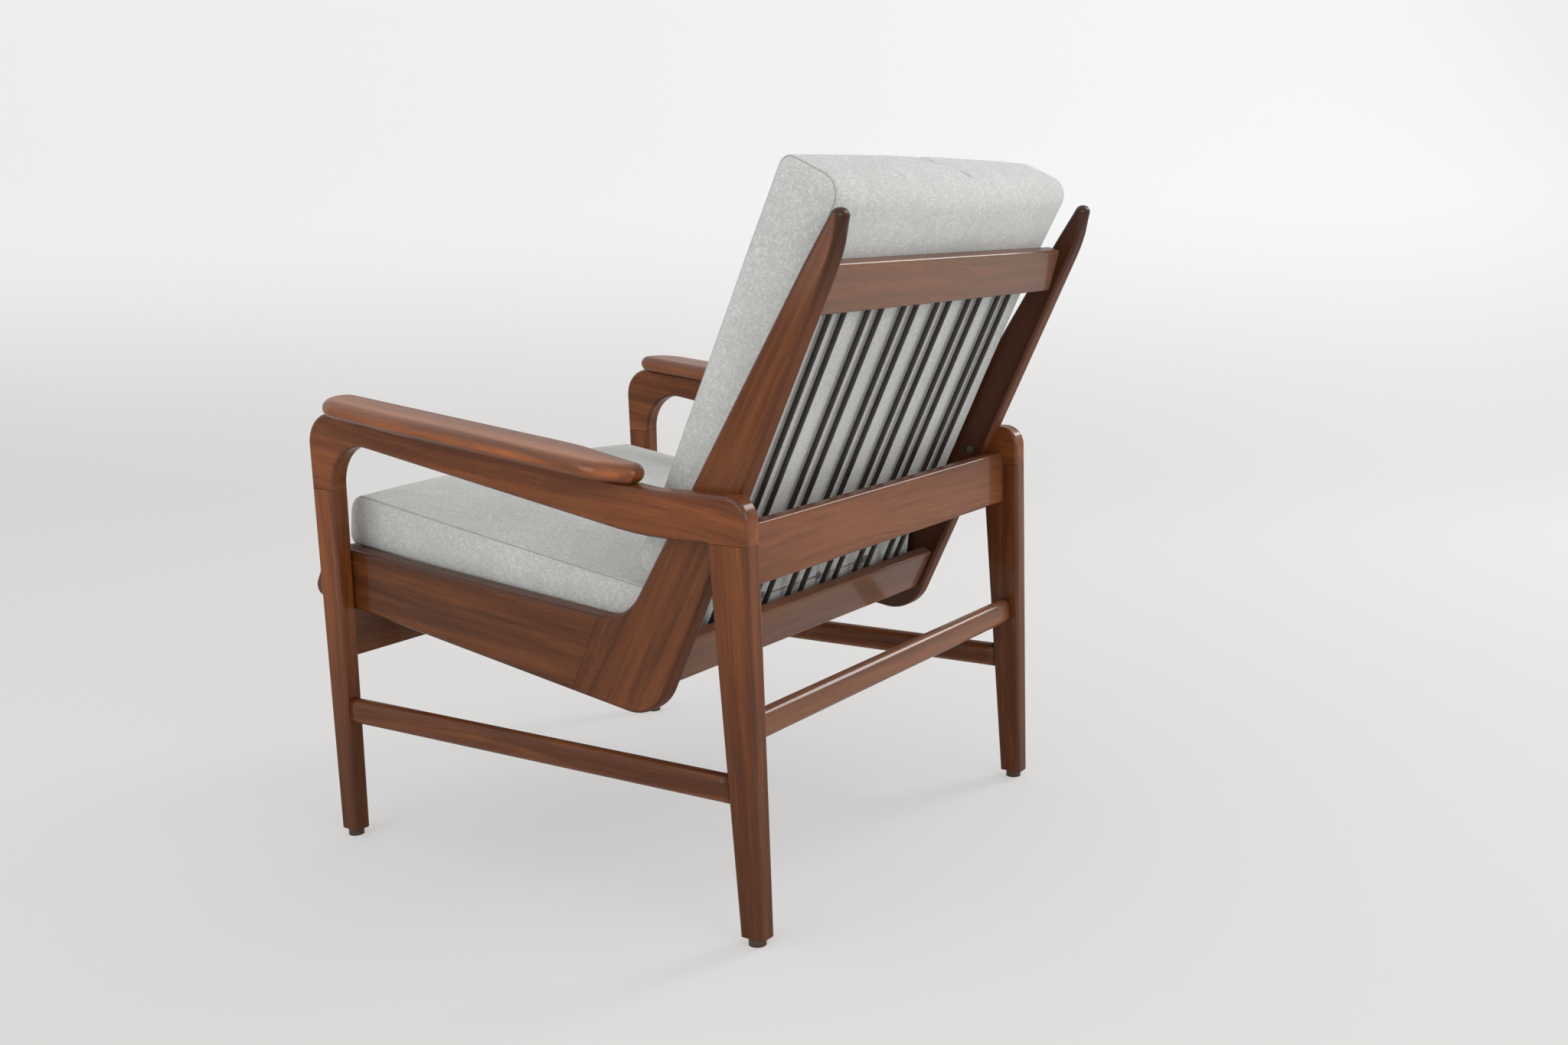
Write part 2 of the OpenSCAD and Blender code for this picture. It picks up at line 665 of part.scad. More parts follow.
module rear_crossbar() {
    color(wood) placed() difference() {
        translate([-frame_x, -cross_set - cross_t, cross_z]) cube([2 * frame_x, cross_t, cross_h]);
        dowel_set(cross_dowels, fit_gap);
    }
}
module front_crossbar() {
    back_y = front_cross_y + front_cross_t;
    color(dark_wood) placed() difference() {
        board([[[front_cross_y, front_cross_z], 0], [[back_y, front_cross_z], 0],
               [meet([back_y, 0], [0, 1], heel, seat_ahead), 0],
               [meet([front_cross_y, 0], [0, 1], heel, seat_ahead), 0]], -frame_x, 2 * frame_x);
        dowel_set(front_cross_dowels, fit_gap);
    }
}
module top_back_rail() {
    color(wood) placed() difference() {
        board(top_rail_corners, -panel_x, 2 * panel_x);
        dowel_set(top_rail_dowels, fit_gap);
        for (x = back_spring_x)
            eye_hole(at_x(x, top_eye), [0, top_rail_back.x, top_rail_back.y]);
    }
}
module lower_back_rail() {
    color(wood) placed() difference() {
        board(low_rail_corners, -panel_x, 2 * panel_x);
        dowel_set(low_rail_dowels, fit_gap);
        for (x = back_spring_x)
            eye_hole(at_x(x, low_eye), [0, -spring_out.x, -spring_out.y]);
    }
}
module seat_front_rail() {
    color(dark_wood) placed() difference() {
        board([[seat_at(seat_rail_s, -rest_gap), 0], [seat_at(seat_rail_s, -rest_gap - seat_rail_h), 0],
               [seat_at(seat_len, -rest_gap - seat_rail_h), 0], [seat_at(seat_len, -rest_gap), 0]],
              -panel_x, 2 * panel_x);
        dowel_set(seat_rail_dowels, fit_gap);
    }
}
module frame_dowels() {
    color("#c9a878") placed()
        dowel_set(concat(rear_arm_dowels, front_arm_dowels, top_rail_dowels, low_rail_dowels, cross_dowels,
                         front_cross_dowels, seat_rail_dowels, panel_dowels, paddle_dowels));
}

// Screw through an eye: p is the eye's middle, dir points into the wood
module eye_hole(p, dir) {
    rod(p, p + (wire_axis + eye_screw_len) * dir, eye_screw_d / 2 + fit_gap);
}
module eye_screw(p, dir) {
    rod(p - (wire_r + fit_gap + screw_head_h / 2) * dir, p + (eye_screw_len - wire_r) * dir, eye_screw_d / 2);
    rod(p - (wire_r + fit_gap + screw_head_h) * dir, p - (wire_r + fit_gap) * dir, screw_head_r);
}
module eye_screws() {
    color("#8d8a84") placed() {
        for (x = back_spring_x) {
            eye_screw(at_x(x, top_eye), [0, top_rail_back.x, top_rail_back.y]);
            eye_screw(at_x(x, low_eye), [0, -spring_out.x, -spring_out.y]);
        }
        for (side = sides, s = seat_spring_s)
            eye_screw(at_x(side * seat_eye_x, seat_at(s, seat_spring_axis)), [0, -seat_up.x, -seat_up.y]);
    }
}
module stile_screws() {
    color("#8d8a84") placed() for (side = sides) on(side)
        for (p = stile_screw_points) {
            translate([panel_x - fit_gap, p.x, p.y]) rotate([0, 90, 0])
                cylinder(h = stile_screw_len, d = stile_screw_d, $fn = round_fn);
            translate([panel_x - fit_gap - stile_head_h, p.x, p.y]) rotate([0, 90, 0])
                cylinder(h = stile_head_h, r = stile_head_r, $fn = round_fn);
        }
}
module floor_glide(side, y) {
    color("#4a3428") placed() on(side) translate([frame_mid_x, y, 0]) {
        cylinder(h = glide_h, d = glide_d, $fn = round_fn);
        cylinder(h = glide_h + nail_len, r = nail_r, $fn = round_fn);
    }
}

// Flat eye in the plane square to dir, with its shank running back to the point from
module wire_eye(p, dir, from) {
    translate(p) along(dir) difference() {
        cylinder(h = wire_d, r = eye_r + wire_r, center = true, $fn = round_fn);
        cylinder(h = wire_d + 1, r = eye_r - wire_r, center = true, $fn = round_fn);
    }
    rod(from, p + unit(from - p) * (eye_r + wire_r - eye_lap), shank_r);
}
module back_spring(x) {
    top_sleeve = at_x(x, back_at(-sleeve_end, spring_axis));
    low_sleeve = at_x(x, back_at(low_rail_s - sleeve_lap, spring_axis));
    low_wire = at_x(x, back_at(low_rail_s - sleeve_lap + shank_lap, wire_axis));
    top_wire = at_x(x, back_at(-sleeve_end - shank_lap, spring_axis));
    color("#1d1b18") placed() {
        rod(low_sleeve, top_sleeve, spring_r);
        wire_eye(at_x(x, top_eye), [0, top_rail_back.x, top_rail_back.y], top_wire);
        wire_eye(at_x(x, low_eye), [0, spring_out.x, spring_out.y], low_wire);
    }
}
module seat_spring(s) {
    p = seat_at(s, seat_spring_axis);
    color("#1d1b18") placed() {
        rod(at_x(-seat_sleeve_x, p), at_x(seat_sleeve_x, p), spring_r);
        for (side = sides)
            wire_eye(at_x(side * seat_eye_x, p), [0, seat_up.x, seat_up.y],
                     at_x(side * (seat_sleeve_x - shank_lap), p));
    }
}

// Cushion form, drawn with its flat face down: x across, y along from 0 to its length, z up.
// The outline of a side panel is carried across in rings, which swell between the two seams.
corner_n = 5;
edge_n = [10, 4];
ring_n = 2 * (2 * corner_n + edge_n[0] + edge_n[1]);
// Parts of half the width at which rings are drawn, from the middle out to the seam
ring_steps = [0, 0.25, 0.5, 0.72, 0.88, 0.96, 1];
seam_in = side_swell + 1;
function toward(a) = [cos(a), sin(a)];
// Outline of a side panel with four corner radii, from the far upper corner round to the far lower one
function panel_edge(l, h, radii) =
    let (centres = [[l - radii[0], h - radii[0]], [radii[1], h - radii[1]],
                    [radii[2], radii[2]], [l - radii[3], radii[3]]])
    [for (k = [0:3])
        let (a = 90 * (k + 1),
             e = centres[k] + radii[k] * toward(a),
             f = centres[(k + 1) % 4] + radii[(k + 1) % 4] * toward(a))
        each concat([for (i = [0:corner_n]) centres[k] + radii[k] * toward(90 * (k + i / corner_n))],
                    [for (i = [1:edge_n[k % 2] - 1]) e + (f - e) * i / edge_n[k % 2]])];
// How full the crown is along the cushion, slower to rise at its near end
function crown_along(u) = u < 0 ? 1 - u * u : 1 - pow(u, 4);
// One ring at x, drawn in by an inset and swollen by a part of the full swell
function cushion_ring(edge, l, h, x, inset, part, crown) =
    [for (q = edge)
        let (u = 2 * q.x / l - 1,
             v = 2 * q.y / h - 1,
             ends = end_swell * part * pow(u, 7) * (1 - v * v / 2),
             face = max(0, v) * crown * part * crown_along(u))
        [x, q.x - u * inset + ends, q.y - v * inset + face]];
// Fullness of the swell at a part of half the width
function swell(k) = 1 - pow(abs(k), 3);
module cushion(w, l, h, radii, crown) {
    edge = panel_edge(l, h, radii);
    half = w / 2;
    seam_x = half - seam_in;
    ks = concat([for (i = [len(ring_steps) - 1:-1:1]) -ring_steps[i]], ring_steps);
    middle_rings = [for (k = ks) cushion_ring(edge, l, h, k * seam_x, 0, swell(k), crown)];
    // Distance in from the side's middle and from the outline for the rings on a side panel
    steps = [[side_swell / 8, soft_corner_r], [side_swell / 2, panel_corner_r / 2], [side_swell, seam_depth]];
    left_rings = [for (r = steps) cushion_ring(edge, l, h, r[0] - half, r[1], 0, 0)];
    right_rings = [for (i = [2:-1:0]) cushion_ring(edge, l, h, half - steps[i][0], steps[i][1], 0, 0)];
    rings = concat(left_rings, middle_rings, right_rings);
    count = len(rings);
    points = concat([[-half, l / 2, h / 2]], [for (r = rings) each r], [[half, l / 2, h / 2]]);
    last = len(points) - 1;
    left_faces = [for (i = [0:ring_n - 1]) [0, 1 + i, 1 + (i + 1) % ring_n]];
    side_faces = [for (j = [0:count - 2], i = [0:ring_n - 1])
        let (a = 1 + j * ring_n + i,
             b = 1 + j * ring_n + (i + 1) % ring_n,
             c = a + ring_n,
             d = b + ring_n)
        each [[a, c, d], [a, d, b]]];
    right_faces = [for (i = [0:ring_n - 1])
        [last, 1 + (count - 1) * ring_n + (i + 1) % ring_n, 1 + (count - 1) * ring_n + i]];
    polyhedron(points = points, faces = concat(left_faces, side_faces, right_faces), convexity = 4);
}

// Carries a cushion drawn flat to its place on the seat or against the back
module on_seat() {
    placed() translate(at_x(0, seat_rear)) rotate([-seat_rise, 0, 0]) mirror([0, 1, 0]) children();
}
module on_back() {
    foot = back_at(cushion_low_s, cushion_out);
    placed() translate(at_x(0, foot)) rotate([90 - back_lean, 0, 0]) children();
}
module foam_block(w, l, h, gap) {
    translate([-w / 2 + wadding_t - gap, wadding_t - gap, wadding_t / 2 - gap])
        cube([w - 2 * wadding_t + 2 * gap, l - 2 * wadding_t + 2 * gap, h - wadding_t + 2 * gap]);
}
// Zip in the middle of the rear or lower end, and the slot in the cover that it lies in
zip_depth = 2;
zip_y = 1.5 - end_swell;
module zip(h) {
    translate([-zip_len / 2, zip_y, (h - zip_w) / 2]) cube([zip_len, zip_depth, zip_w]);
}
module zip_slot(h) {
    translate([-zip_len / 2 - rest_gap, -2 * end_swell, (h - zip_w) / 2 - rest_gap])
        cube([zip_len + 2 * rest_gap, 2 * end_swell + zip_y + zip_depth + rest_gap, zip_w + 2 * rest_gap]);
}

seat_radii = [soft_corner_r, panel_corner_r, panel_corner_r, panel_corner_r];
back_radii = [panel_corner_r, panel_corner_r, panel_corner_r, soft_corner_r];
module seat_cushion_cover() {
    color(fabric) on_seat() difference() {
        cushion(cushion_w, seat_len, seat_h, seat_radii, seat_crown);
        foam_block(cushion_w, seat_len, seat_h, rest_gap);
        zip_slot(seat_h);
    }
}
module seat_cushion_foam() {
    color("#e8dfb8") on_seat() foam_block(cushion_w, seat_len, seat_h, 0);
}
module seat_cushion_zip() {
    color("#77756f") on_seat() zip(seat_h);
}
module back_cushion_cover() {
    color(fabric) on_back() difference() {
        cushion(cushion_w, back_len, back_h, back_radii, back_crown);
        foam_block(cushion_w, back_len, back_h, rest_gap);
        zip_slot(back_h);
    }
}
module back_cushion_foam() {
    color("#e8dfb8") on_back() foam_block(cushion_w, back_len, back_h, 0);
}
module back_cushion_zip() {
    color("#77756f") on_back() zip(back_h);
}

front_leg(1);  // left_front_leg
front_leg(-1);  // right_front_leg
rear_leg(1);  // left_rear_leg
rear_leg(-1);  // right_rear_leg
arm_rail(1);  // left_arm_rail
arm_rail(-1);  // right_arm_rail
arm_paddle(1);  // left_arm_paddle
arm_paddle(-1);  // right_arm_paddle
side_stretcher(1);  // left_side_stretcher
side_stretcher(-1);  // right_side_stretcher
seat_side_rail(1);  // left_seat_side_rail
seat_side_rail(-1);  // right_seat_side_rail
back_stile(1);  // left_back_stile
back_stile(-1);  // right_back_stile
seat_batten(1);  // left_seat_batten
seat_batten(-1);  // right_seat_batten
rear_stretcher();
rear_crossbar();
front_crossbar();
top_back_rail();
lower_back_rail();
seat_front_rail();
frame_dowels();
stile_screws();
eye_screws();
floor_glide(1, glide_y[0]);  // left_front_glide
floor_glide(-1, glide_y[0]);  // right_front_glide
floor_glide(1, glide_y[1]);  // left_rear_glide
floor_glide(-1, glide_y[1]);  // right_rear_glide
for (i = [0:2 * back_pairs - 1])
    back_spring(back_spring_x[i]);
for (i = [0:seat_springs - 1])
    seat_spring(seat_spring_s[i]);
seat_cushion_cover();
seat_cushion_foam();
seat_cushion_zip();
back_cushion_cover();
back_cushion_foam();
back_cushion_zip();
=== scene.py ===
# %% [markdown]
# An easy chair, dressed for the camera.
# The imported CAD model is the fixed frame. Every piece made here rides on one of its bodies:
# the wooden frame, the loose seat cushion or the loose back cushion.

# %% Load the frame
import math

import bmesh
import bpy
import numpy as np
from mathutils import Matrix, Vector, kdtree, noise


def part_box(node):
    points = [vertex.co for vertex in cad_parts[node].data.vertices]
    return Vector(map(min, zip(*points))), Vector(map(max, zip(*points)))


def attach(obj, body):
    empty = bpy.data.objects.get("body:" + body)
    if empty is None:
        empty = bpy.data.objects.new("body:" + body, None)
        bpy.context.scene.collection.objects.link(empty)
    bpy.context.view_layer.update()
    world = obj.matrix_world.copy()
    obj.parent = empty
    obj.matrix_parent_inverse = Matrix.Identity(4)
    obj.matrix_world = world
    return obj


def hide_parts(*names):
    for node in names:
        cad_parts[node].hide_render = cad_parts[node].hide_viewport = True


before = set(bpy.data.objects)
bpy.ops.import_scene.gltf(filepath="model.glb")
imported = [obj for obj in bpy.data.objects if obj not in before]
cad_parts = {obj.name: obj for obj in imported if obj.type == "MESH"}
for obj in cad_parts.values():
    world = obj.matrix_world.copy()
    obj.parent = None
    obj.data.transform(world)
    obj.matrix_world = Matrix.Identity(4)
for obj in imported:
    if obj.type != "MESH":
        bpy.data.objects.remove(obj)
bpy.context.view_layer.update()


def added(name, data):
    """A new object in the scene."""
    item = bpy.data.objects.new(name, data)
    bpy.context.scene.collection.objects.link(item)
    return item


# %% [markdown]
# Side outlines of a chair are drawn as corners in a side view, each with a fillet radius.
# Two lines that lean by known angles meet in a corner, and a fillet turns the corner.
# The same few helpers drew the CAD model, so the outlines agree to a fraction of a millimetre.
# All outlines are in millimetres, with y = 0 at the back face of the rear legs.

# %% Corners and fillets in a side view
MM = 0.001
ROUND = 5.0      # rounding of the frame's long edges
GLUED = 0.25     # the faint line at a glued joint
back_of_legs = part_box("left_rear_leg")[1].y / MM


def ahead(degrees):
    """The direction that runs forwards and rises by some degrees."""
    a = math.radians(degrees)
    return np.array([-math.cos(a), math.sin(a)])


def lean(degrees):
    """The direction that runs upwards and leans back by some degrees."""
    a = math.radians(degrees)
    return np.array([math.sin(a), math.cos(a)])


def meet(p, u, q, v):
    """Where the line through p along u crosses the line through q along v."""
    w = q - p
    return p + u * (w[0] * v[1] - w[1] * v[0]) / (u[0] * v[1] - u[1] * v[0])


def point(y, z):
    return np.array([float(y), float(z)])


def fillet(before, corner, after, radius, step=4.0):
    """Points that turn a corner with a radius; just the corner where the radius is 0."""
    if radius <= 0:
        return [corner]
    u = (before - corner) / np.linalg.norm(before - corner)
    v = (after - corner) / np.linalg.norm(after - corner)
    half = math.acos(float(np.clip(u @ v, -1, 1))) / 2
    middle = corner + (u + v) / np.linalg.norm(u + v) * radius / math.sin(half)
    first = corner + u * radius / math.tan(half) - middle
    last = corner + v * radius / math.tan(half) - middle
    start = math.atan2(first[1], first[0])
    sweep = math.atan2(last[1], last[0]) - start
    sweep = (sweep + math.pi) % (2 * math.pi) - math.pi
    count = max(3, math.ceil(abs(math.degrees(sweep)) / step))
    angles = [start + sweep * i / count for i in range(count + 1)]
    return [middle + radius * np.array([math.cos(a), math.sin(a)]) for a in angles]


def outline(corners):
    """corners are (point, fillet radius, edge rounding up to the next corner)."""
    points, rounds = [], []
    for i, (corner, radius, rounding) in enumerate(corners):
        turned = fillet(corners[i - 1][0], corner, corners[(i + 1) % len(corners)][0], radius)
        before = corners[i - 1][2]
        points += turned
        inside = len(turned) - 1
        rounds += [max(before, rounding)] * inside + [rounding]
    return np.array(points), np.array(rounds, float)


print("back of the rear legs at y =", round(back_of_legs, 2), "mm")

# %% [markdown]
# A shaped board is sawn to its outline and then run past a rounding cutter, which rounds the
# edges but not the ends that are glued to the next board. Blender's Bevel does this too, but
# it can't change the radius along an edge. Here the rounding is built ring by ring: each ring
# is the outline, drawn in by a part of the radius.

# %% Rings of a rounded board
SMOOTH_TURN = 0.9    # cosine of the sharpest turn that is still a bend and not a corner
TIP_DEPTH = 1.1      # a rounding wider than ROUND bites so much deeper into the thickness
LEAST_FLAT = 0.1     # what stays of half the thickness, in mm


def edge_facts(points, rounds):
    """Inward normals of the edges, how each point is drawn in, and where a corner is sharp."""
    count = len(points)
    ahead_of = np.roll(points, -1, 0) - points
    along = ahead_of / np.linalg.norm(ahead_of, axis=1)[:, None]
    inward = np.stack([-along[:, 1], along[:, 0]], 1)
    drawn = np.zeros((count, 2))
    sharp = np.zeros(count, bool)
    for i in range(count):
        n1, n2, r1, r2 = inward[i - 1], inward[i], rounds[i - 1], rounds[i]
        if n1 @ n2 > SMOOTH_TURN:
            middle = (n1 + n2) / np.linalg.norm(n1 + n2)
            drawn[i] = middle * (r1 + r2) / 2 / float(middle @ n1)
        else:
            sharp[i] = True
            drawn[i] = np.linalg.solve(np.array([n1, n2]), np.array([r1, r2]))
    return inward, drawn, sharp


def board_rings(points, drawn, deep, half_t, steps):
    """The angle of each ring, from one face round to the other, and the points of all rings."""
    quarter = np.radians(np.linspace(0, 90, steps + 1))
    angles = np.concatenate([-quarter[::-1], quarter])
    rings = []
    for angle, side in zip(angles, np.repeat([-1, 1], steps + 1)):
        w = side * (half_t - deep * (1 - abs(math.sin(angle))))
        rings.append(np.column_stack([points + drawn * (1 - math.cos(angle)), w]))
    return angles, np.concatenate(rings)


# %% [markdown]
# The normals are worked out with the rings, so the flat faces stay flat and only the rounded
# edges shade smoothly. Two marks are kept on the points for the wood's finish: "worn" is
# highest on the rounding, and "narrow" on the narrow face between two roundings.

# %% Boards with rounded edges
def shaped_board(name, drawn_outline, half_t, place, turn, steps=5, mirrored=False):
    """A board half_t thick on either side of its middle. place maps (u, v, w) to x, y, z in mm."""
    points, rounds = drawn_outline
    area = np.sum(points[:, 0] * np.roll(points[:, 1], -1) - np.roll(points[:, 0], -1) * points[:, 1])
    if area < 0:
        points, rounds = points[::-1], np.roll(rounds[::-1], -1)
    count = len(points)
    inward, drawn, sharp = edge_facts(points, rounds)
    widest = np.maximum(rounds, np.roll(rounds, 1))
    deep = np.minimum(widest + TIP_DEPTH * np.maximum(0, widest - ROUND), half_t - LEAST_FLAT)
    angles, vertices = board_rings(points, drawn, deep, half_t, steps)

    def normal_at(i, p, angle):
        """The normal at point p of edge i, leaning out to a face with the rounding's angle."""
        out = -inward[i] if sharp[p] else -(inward[p - 1] + inward[p])
        out = out / np.linalg.norm(out)
        tilt = 0.0
        if rounds[i] > GLUED:
            tilt = math.atan2(widest[p] * math.sin(angle), deep[p] * math.cos(angle))
        return (out[0] * math.cos(tilt), out[1] * math.cos(tilt), math.sin(tilt))

    faces, normals = [], []
    for k, (angle, next_angle) in enumerate(zip(angles, angles[1:])):
        for i in range(count):
            j = (i + 1) % count
            faces.append([k * count + i, k * count + j, (k + 1) * count + j, (k + 1) * count + i])
            normals += [normal_at(i, i, angle), normal_at(i, j, angle),
                        normal_at(i, j, next_angle), normal_at(i, i, next_angle)]
    faces.append(list(range(count))[::-1])
    normals += [(0, 0, -1)] * count
    faces.append([(len(angles) - 1) * count + i for i in range(count)])
    normals += [(0, 0, 1)] * count
    placed = np.array([place(*v) for v in vertices]) * MM
    turned = np.array([turn(*n) for n in normals])
    if mirrored:
        placed[:, 0] *= -1
        turned[:, 0] *= -1
    spun = np.linalg.det(np.array([turn(1, 0, 0), turn(0, 1, 0), turn(0, 0, 1)])) < 0
    if spun != mirrored:
        at = 0
        for f, face in enumerate(faces):
            turned[at:at + len(face)] = turned[at:at + len(face)][::-1]
            faces[f] = face[::-1]
            at += len(face)
    mesh = bpy.data.meshes.new(name)
    mesh.from_pydata(placed.tolist(), [], faces)
    mesh.polygons.foreach_set("use_smooth", [True] * len(faces))
    for mark, values in (("worn", np.sin(2 * np.abs(angles)) ** 2), ("narrow", np.cos(angles) ** 2)):
        attribute = mesh.attributes.new(mark, "FLOAT", "POINT")
        attribute.data.foreach_set("value", np.repeat(values, count).astype(np.float32))
    mesh.normals_split_custom_set(turned.tolist())
    piece = added(name, mesh)
    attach(piece, "frame")
    return piece


def upright_at(x):
    """Places a side outline upright, its middle plane at x."""
    return lambda u, v, w: (x + w, u + back_of_legs, v)


def upright_turn(a, b, c):
    return (c, a, b)


made = {}


def keep(node, piece):
    """The piece takes the place of its CAD node, and waits there for its finish."""
    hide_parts(node)
    made[node] = piece


print("long edges are rounded by", ROUND, "mm")

# %% [markdown]
# The two side frames are each a front leg, a rear leg and an arm rail, 25 mm thick, glued
# flush. The legs taper to the floor and are cut square. The arm rail has a flat rear end,
# rises towards the front and turns down into the front leg with a wide arch inside.

# %% Side frames
half_w, frame_t, depth = 325.0, 25.0, 683.0
glide_h, front_joint, rear_joint = 9.0, 465.0, 445.5
front_foot_w, front_top_w = 28.0, 40.0
rear_foot_w, rear_top_w = 30.0, 53.5
foot_round = 1.5
arm_rise, arm_back_z, arm_bend_y = 7.15, 497.5, -124.0
under_slope, under_knee_y = 9.8, -143.5
rear_knuckle_r, front_knuckle_r, arm_bend_r = 26, 41, 150
arch_r, under_knee_r = 54, 400
frame_mid = half_w - frame_t / 2
front_foot = point(-depth + front_foot_w, glide_h)
front_top = point(-depth + front_top_w, front_joint)
rear_top = point(-rear_top_w, rear_joint)


def arm_top(y):
    """Height of the arm rail's rising top at y."""
    return arm_back_z + math.tan(math.radians(arm_rise)) * (arm_bend_y - y)


under_knee = point(under_knee_y, rear_joint)
arch = meet(front_foot, front_top - front_foot, under_knee, ahead(under_slope))
front_leg = [
    (point(-depth, glide_h), 0, foot_round), (front_foot, 0, ROUND),
    (front_top, 0, GLUED), (point(-depth, front_joint), 0, ROUND)]
rear_leg = [
    (point(-rear_foot_w, glide_h), 0, foot_round), (point(0, glide_h), 0, ROUND),
    (point(0, rear_joint), 0, GLUED), (rear_top, 0, ROUND)]
arm_rail = [
    (point(0, rear_joint), 0, ROUND), (point(0, arm_back_z), rear_knuckle_r, ROUND),
    (point(arm_bend_y, arm_back_z), arm_bend_r, ROUND),
    (point(-depth, arm_top(-depth)), front_knuckle_r, ROUND),
    (point(-depth, front_joint), 0, GLUED), (front_top, 0, ROUND),
    (arch, arch_r, ROUND), (under_knee, under_knee_r, ROUND),
    (rear_top + point(0, 0.02), 0, ROUND), (rear_top, 0, GLUED)]
for side, mirrored in (("left", False), ("right", True)):
    for part, corners in (("front_leg", front_leg), ("rear_leg", rear_leg), ("arm_rail", arm_rail)):
        node = f"{side}_{part}"
        keep(node, shaped_board(node + "_wood", outline(corners), frame_t / 2, upright_at(frame_mid),
                                upright_turn, mirrored=mirrored))
print("side frames:", len(made), "boards")

# %% [markdown]
# The paddles on the arms are boats seen from above: widest near the front, drawn in to a
# narrow rear tip, and fully round at their edges. They lie on the rising arm rails, so they
# are built flat and turned by the arm's rise.

# %% Arm paddles
paddle_t, paddle_rear, paddle_len = 22.0, 150.0, 502.0
inner_x = half_w - frame_t
paddle_front = -paddle_rear - paddle_len
outer_x = half_w + 30.5              # the widest line of the paddle
tip_x, tip_w = frame_mid - 12, 24    # the rear tip's inner side, and its width
widest_at, tail_at, waist_at = paddle_front + 167, -paddle_rear - 46, -paddle_rear - 112
nose_r, shoulder_r, paddle_tip_r, belly_r = 18, 46, 13.2, 300
edge = paddle_t / 2
paddle = [
    (point(inner_x - 16, paddle_front), nose_r, edge),
    (point(outer_x - 4.6, paddle_front), shoulder_r, edge),
    (point(outer_x, widest_at), belly_r, edge),
    (point(outer_x - 5.5, tail_at), shoulder_r, edge),
    (point(tip_x + tip_w, -paddle_rear), paddle_tip_r, edge),
    (point(tip_x, -paddle_rear), paddle_tip_r, edge),
    (point(inner_x - 22, waist_at), belly_r, edge)]
rise_cos, rise_sin = math.cos(math.radians(arm_rise)), math.sin(math.radians(arm_rise))


def on_arm(u, v, w):
    up = w + paddle_t / 2
    return (u, v * rise_cos + up * rise_sin + back_of_legs, -v * rise_sin + up * rise_cos + arm_top(0))


def arm_turn(a, b, c):
    return (a, b * rise_cos + c * rise_sin, -b * rise_sin + c * rise_cos)


for side, mirrored in (("left", False), ("right", True)):
    node = f"{side}_arm_paddle"
    keep(node, shaped_board(node + "_wood", outline(paddle), paddle_t / 2, on_arm, arm_turn,
                            steps=10, mirrored=mirrored))
print("paddle box:", [round(c, 3) for c in made["left_arm_paddle"].dimensions])

# %% [markdown]
# The boomerang panels carry the cushions. Each is two boards: a seat side rail and a back
# stile that ends in a horn, with a glued joint between them in front of the heel. The horn's
# tip is rounded more than the rest, so the rounding grows towards it.

# %% Outline of a boomerang panel
panel_t = 25.0
panel_mid = inner_x - panel_t / 2
seat_slope, rail_top_slope, nose_lean = 9.0, 5.6, 28.5
heel_lean, face_lean, horn_lean = 26.5, 33.0, 17.0
heel = point(-157.5, 227.5)
horn_face = point(95, 784.5)
rail_top_z, ahead_of_legs = 388, 49
nose_low_r, nose_top_r, heel_r, seat_corner_r, horn_bend_r = 15, 12, 55, 64, 200
low_front = meet(heel, ahead(seat_slope), point(-depth - ahead_of_legs, 0), point(0, 1))
nose = meet(low_front, lean(nose_lean), point(0, rail_top_z), point(1, 0))
inner_corner = meet(nose, ahead(rail_top_slope), horn_face, lean(face_lean))
tip_r, tip_z, tip_round = 8.0, 779.0, 7.8
tip_y = horn_face[0] + (tip_z - horn_face[1]) * math.tan(math.radians(face_lean))
horn_mid = point(tip_y + tip_r / math.cos(math.radians(face_lean)), tip_z)
horn_out = point(math.cos(math.radians(horn_lean)), -math.sin(math.radians(horn_lean)))
horn_back = horn_mid + tip_r * horn_out
horn_bend = meet(heel, lean(heel_lean), horn_back, lean(horn_lean))
horn_point = meet(horn_face, lean(face_lean), horn_back, lean(horn_lean))
horn_len = float(np.linalg.norm(horn_point - horn_bend))
tip_starts = tip_r / math.tan(math.radians((face_lean - horn_lean) / 2))
back_swells = ((60, 5.4), (42, 6.0), (24, 6.8), (8, 7.4))      # distance from the tip, rounding
face_swells = ((8, 6.8), (24, 6.0), (42, 5.4), (60, ROUND))
along_back = [(horn_point - lean(horn_lean) * (tip_starts + d), 0, r) for d, r in back_swells
              if tip_starts + d < horn_len - 30]
along_face = [(horn_point - lean(face_lean) * (tip_starts + d), 0, r) for d, r in face_swells]
panel = outline(
    [(low_front, nose_low_r, ROUND), (heel, heel_r, ROUND), (horn_bend, horn_bend_r, ROUND)]
    + along_back + [(horn_point, tip_r, tip_round)] + along_face
    + [(inner_corner, seat_corner_r, ROUND), (nose, nose_top_r, ROUND)])
print("horn above its bend:", round(horn_len, 1), "mm")
print("heel to horn:", round(float(tip_z + tip_r - heel[1]), 1), "mm")


# %% [markdown]
# Sawing a panel in two gives the rail and the stile, which keep the panel's own edges and get
# a faint line where they are glued.

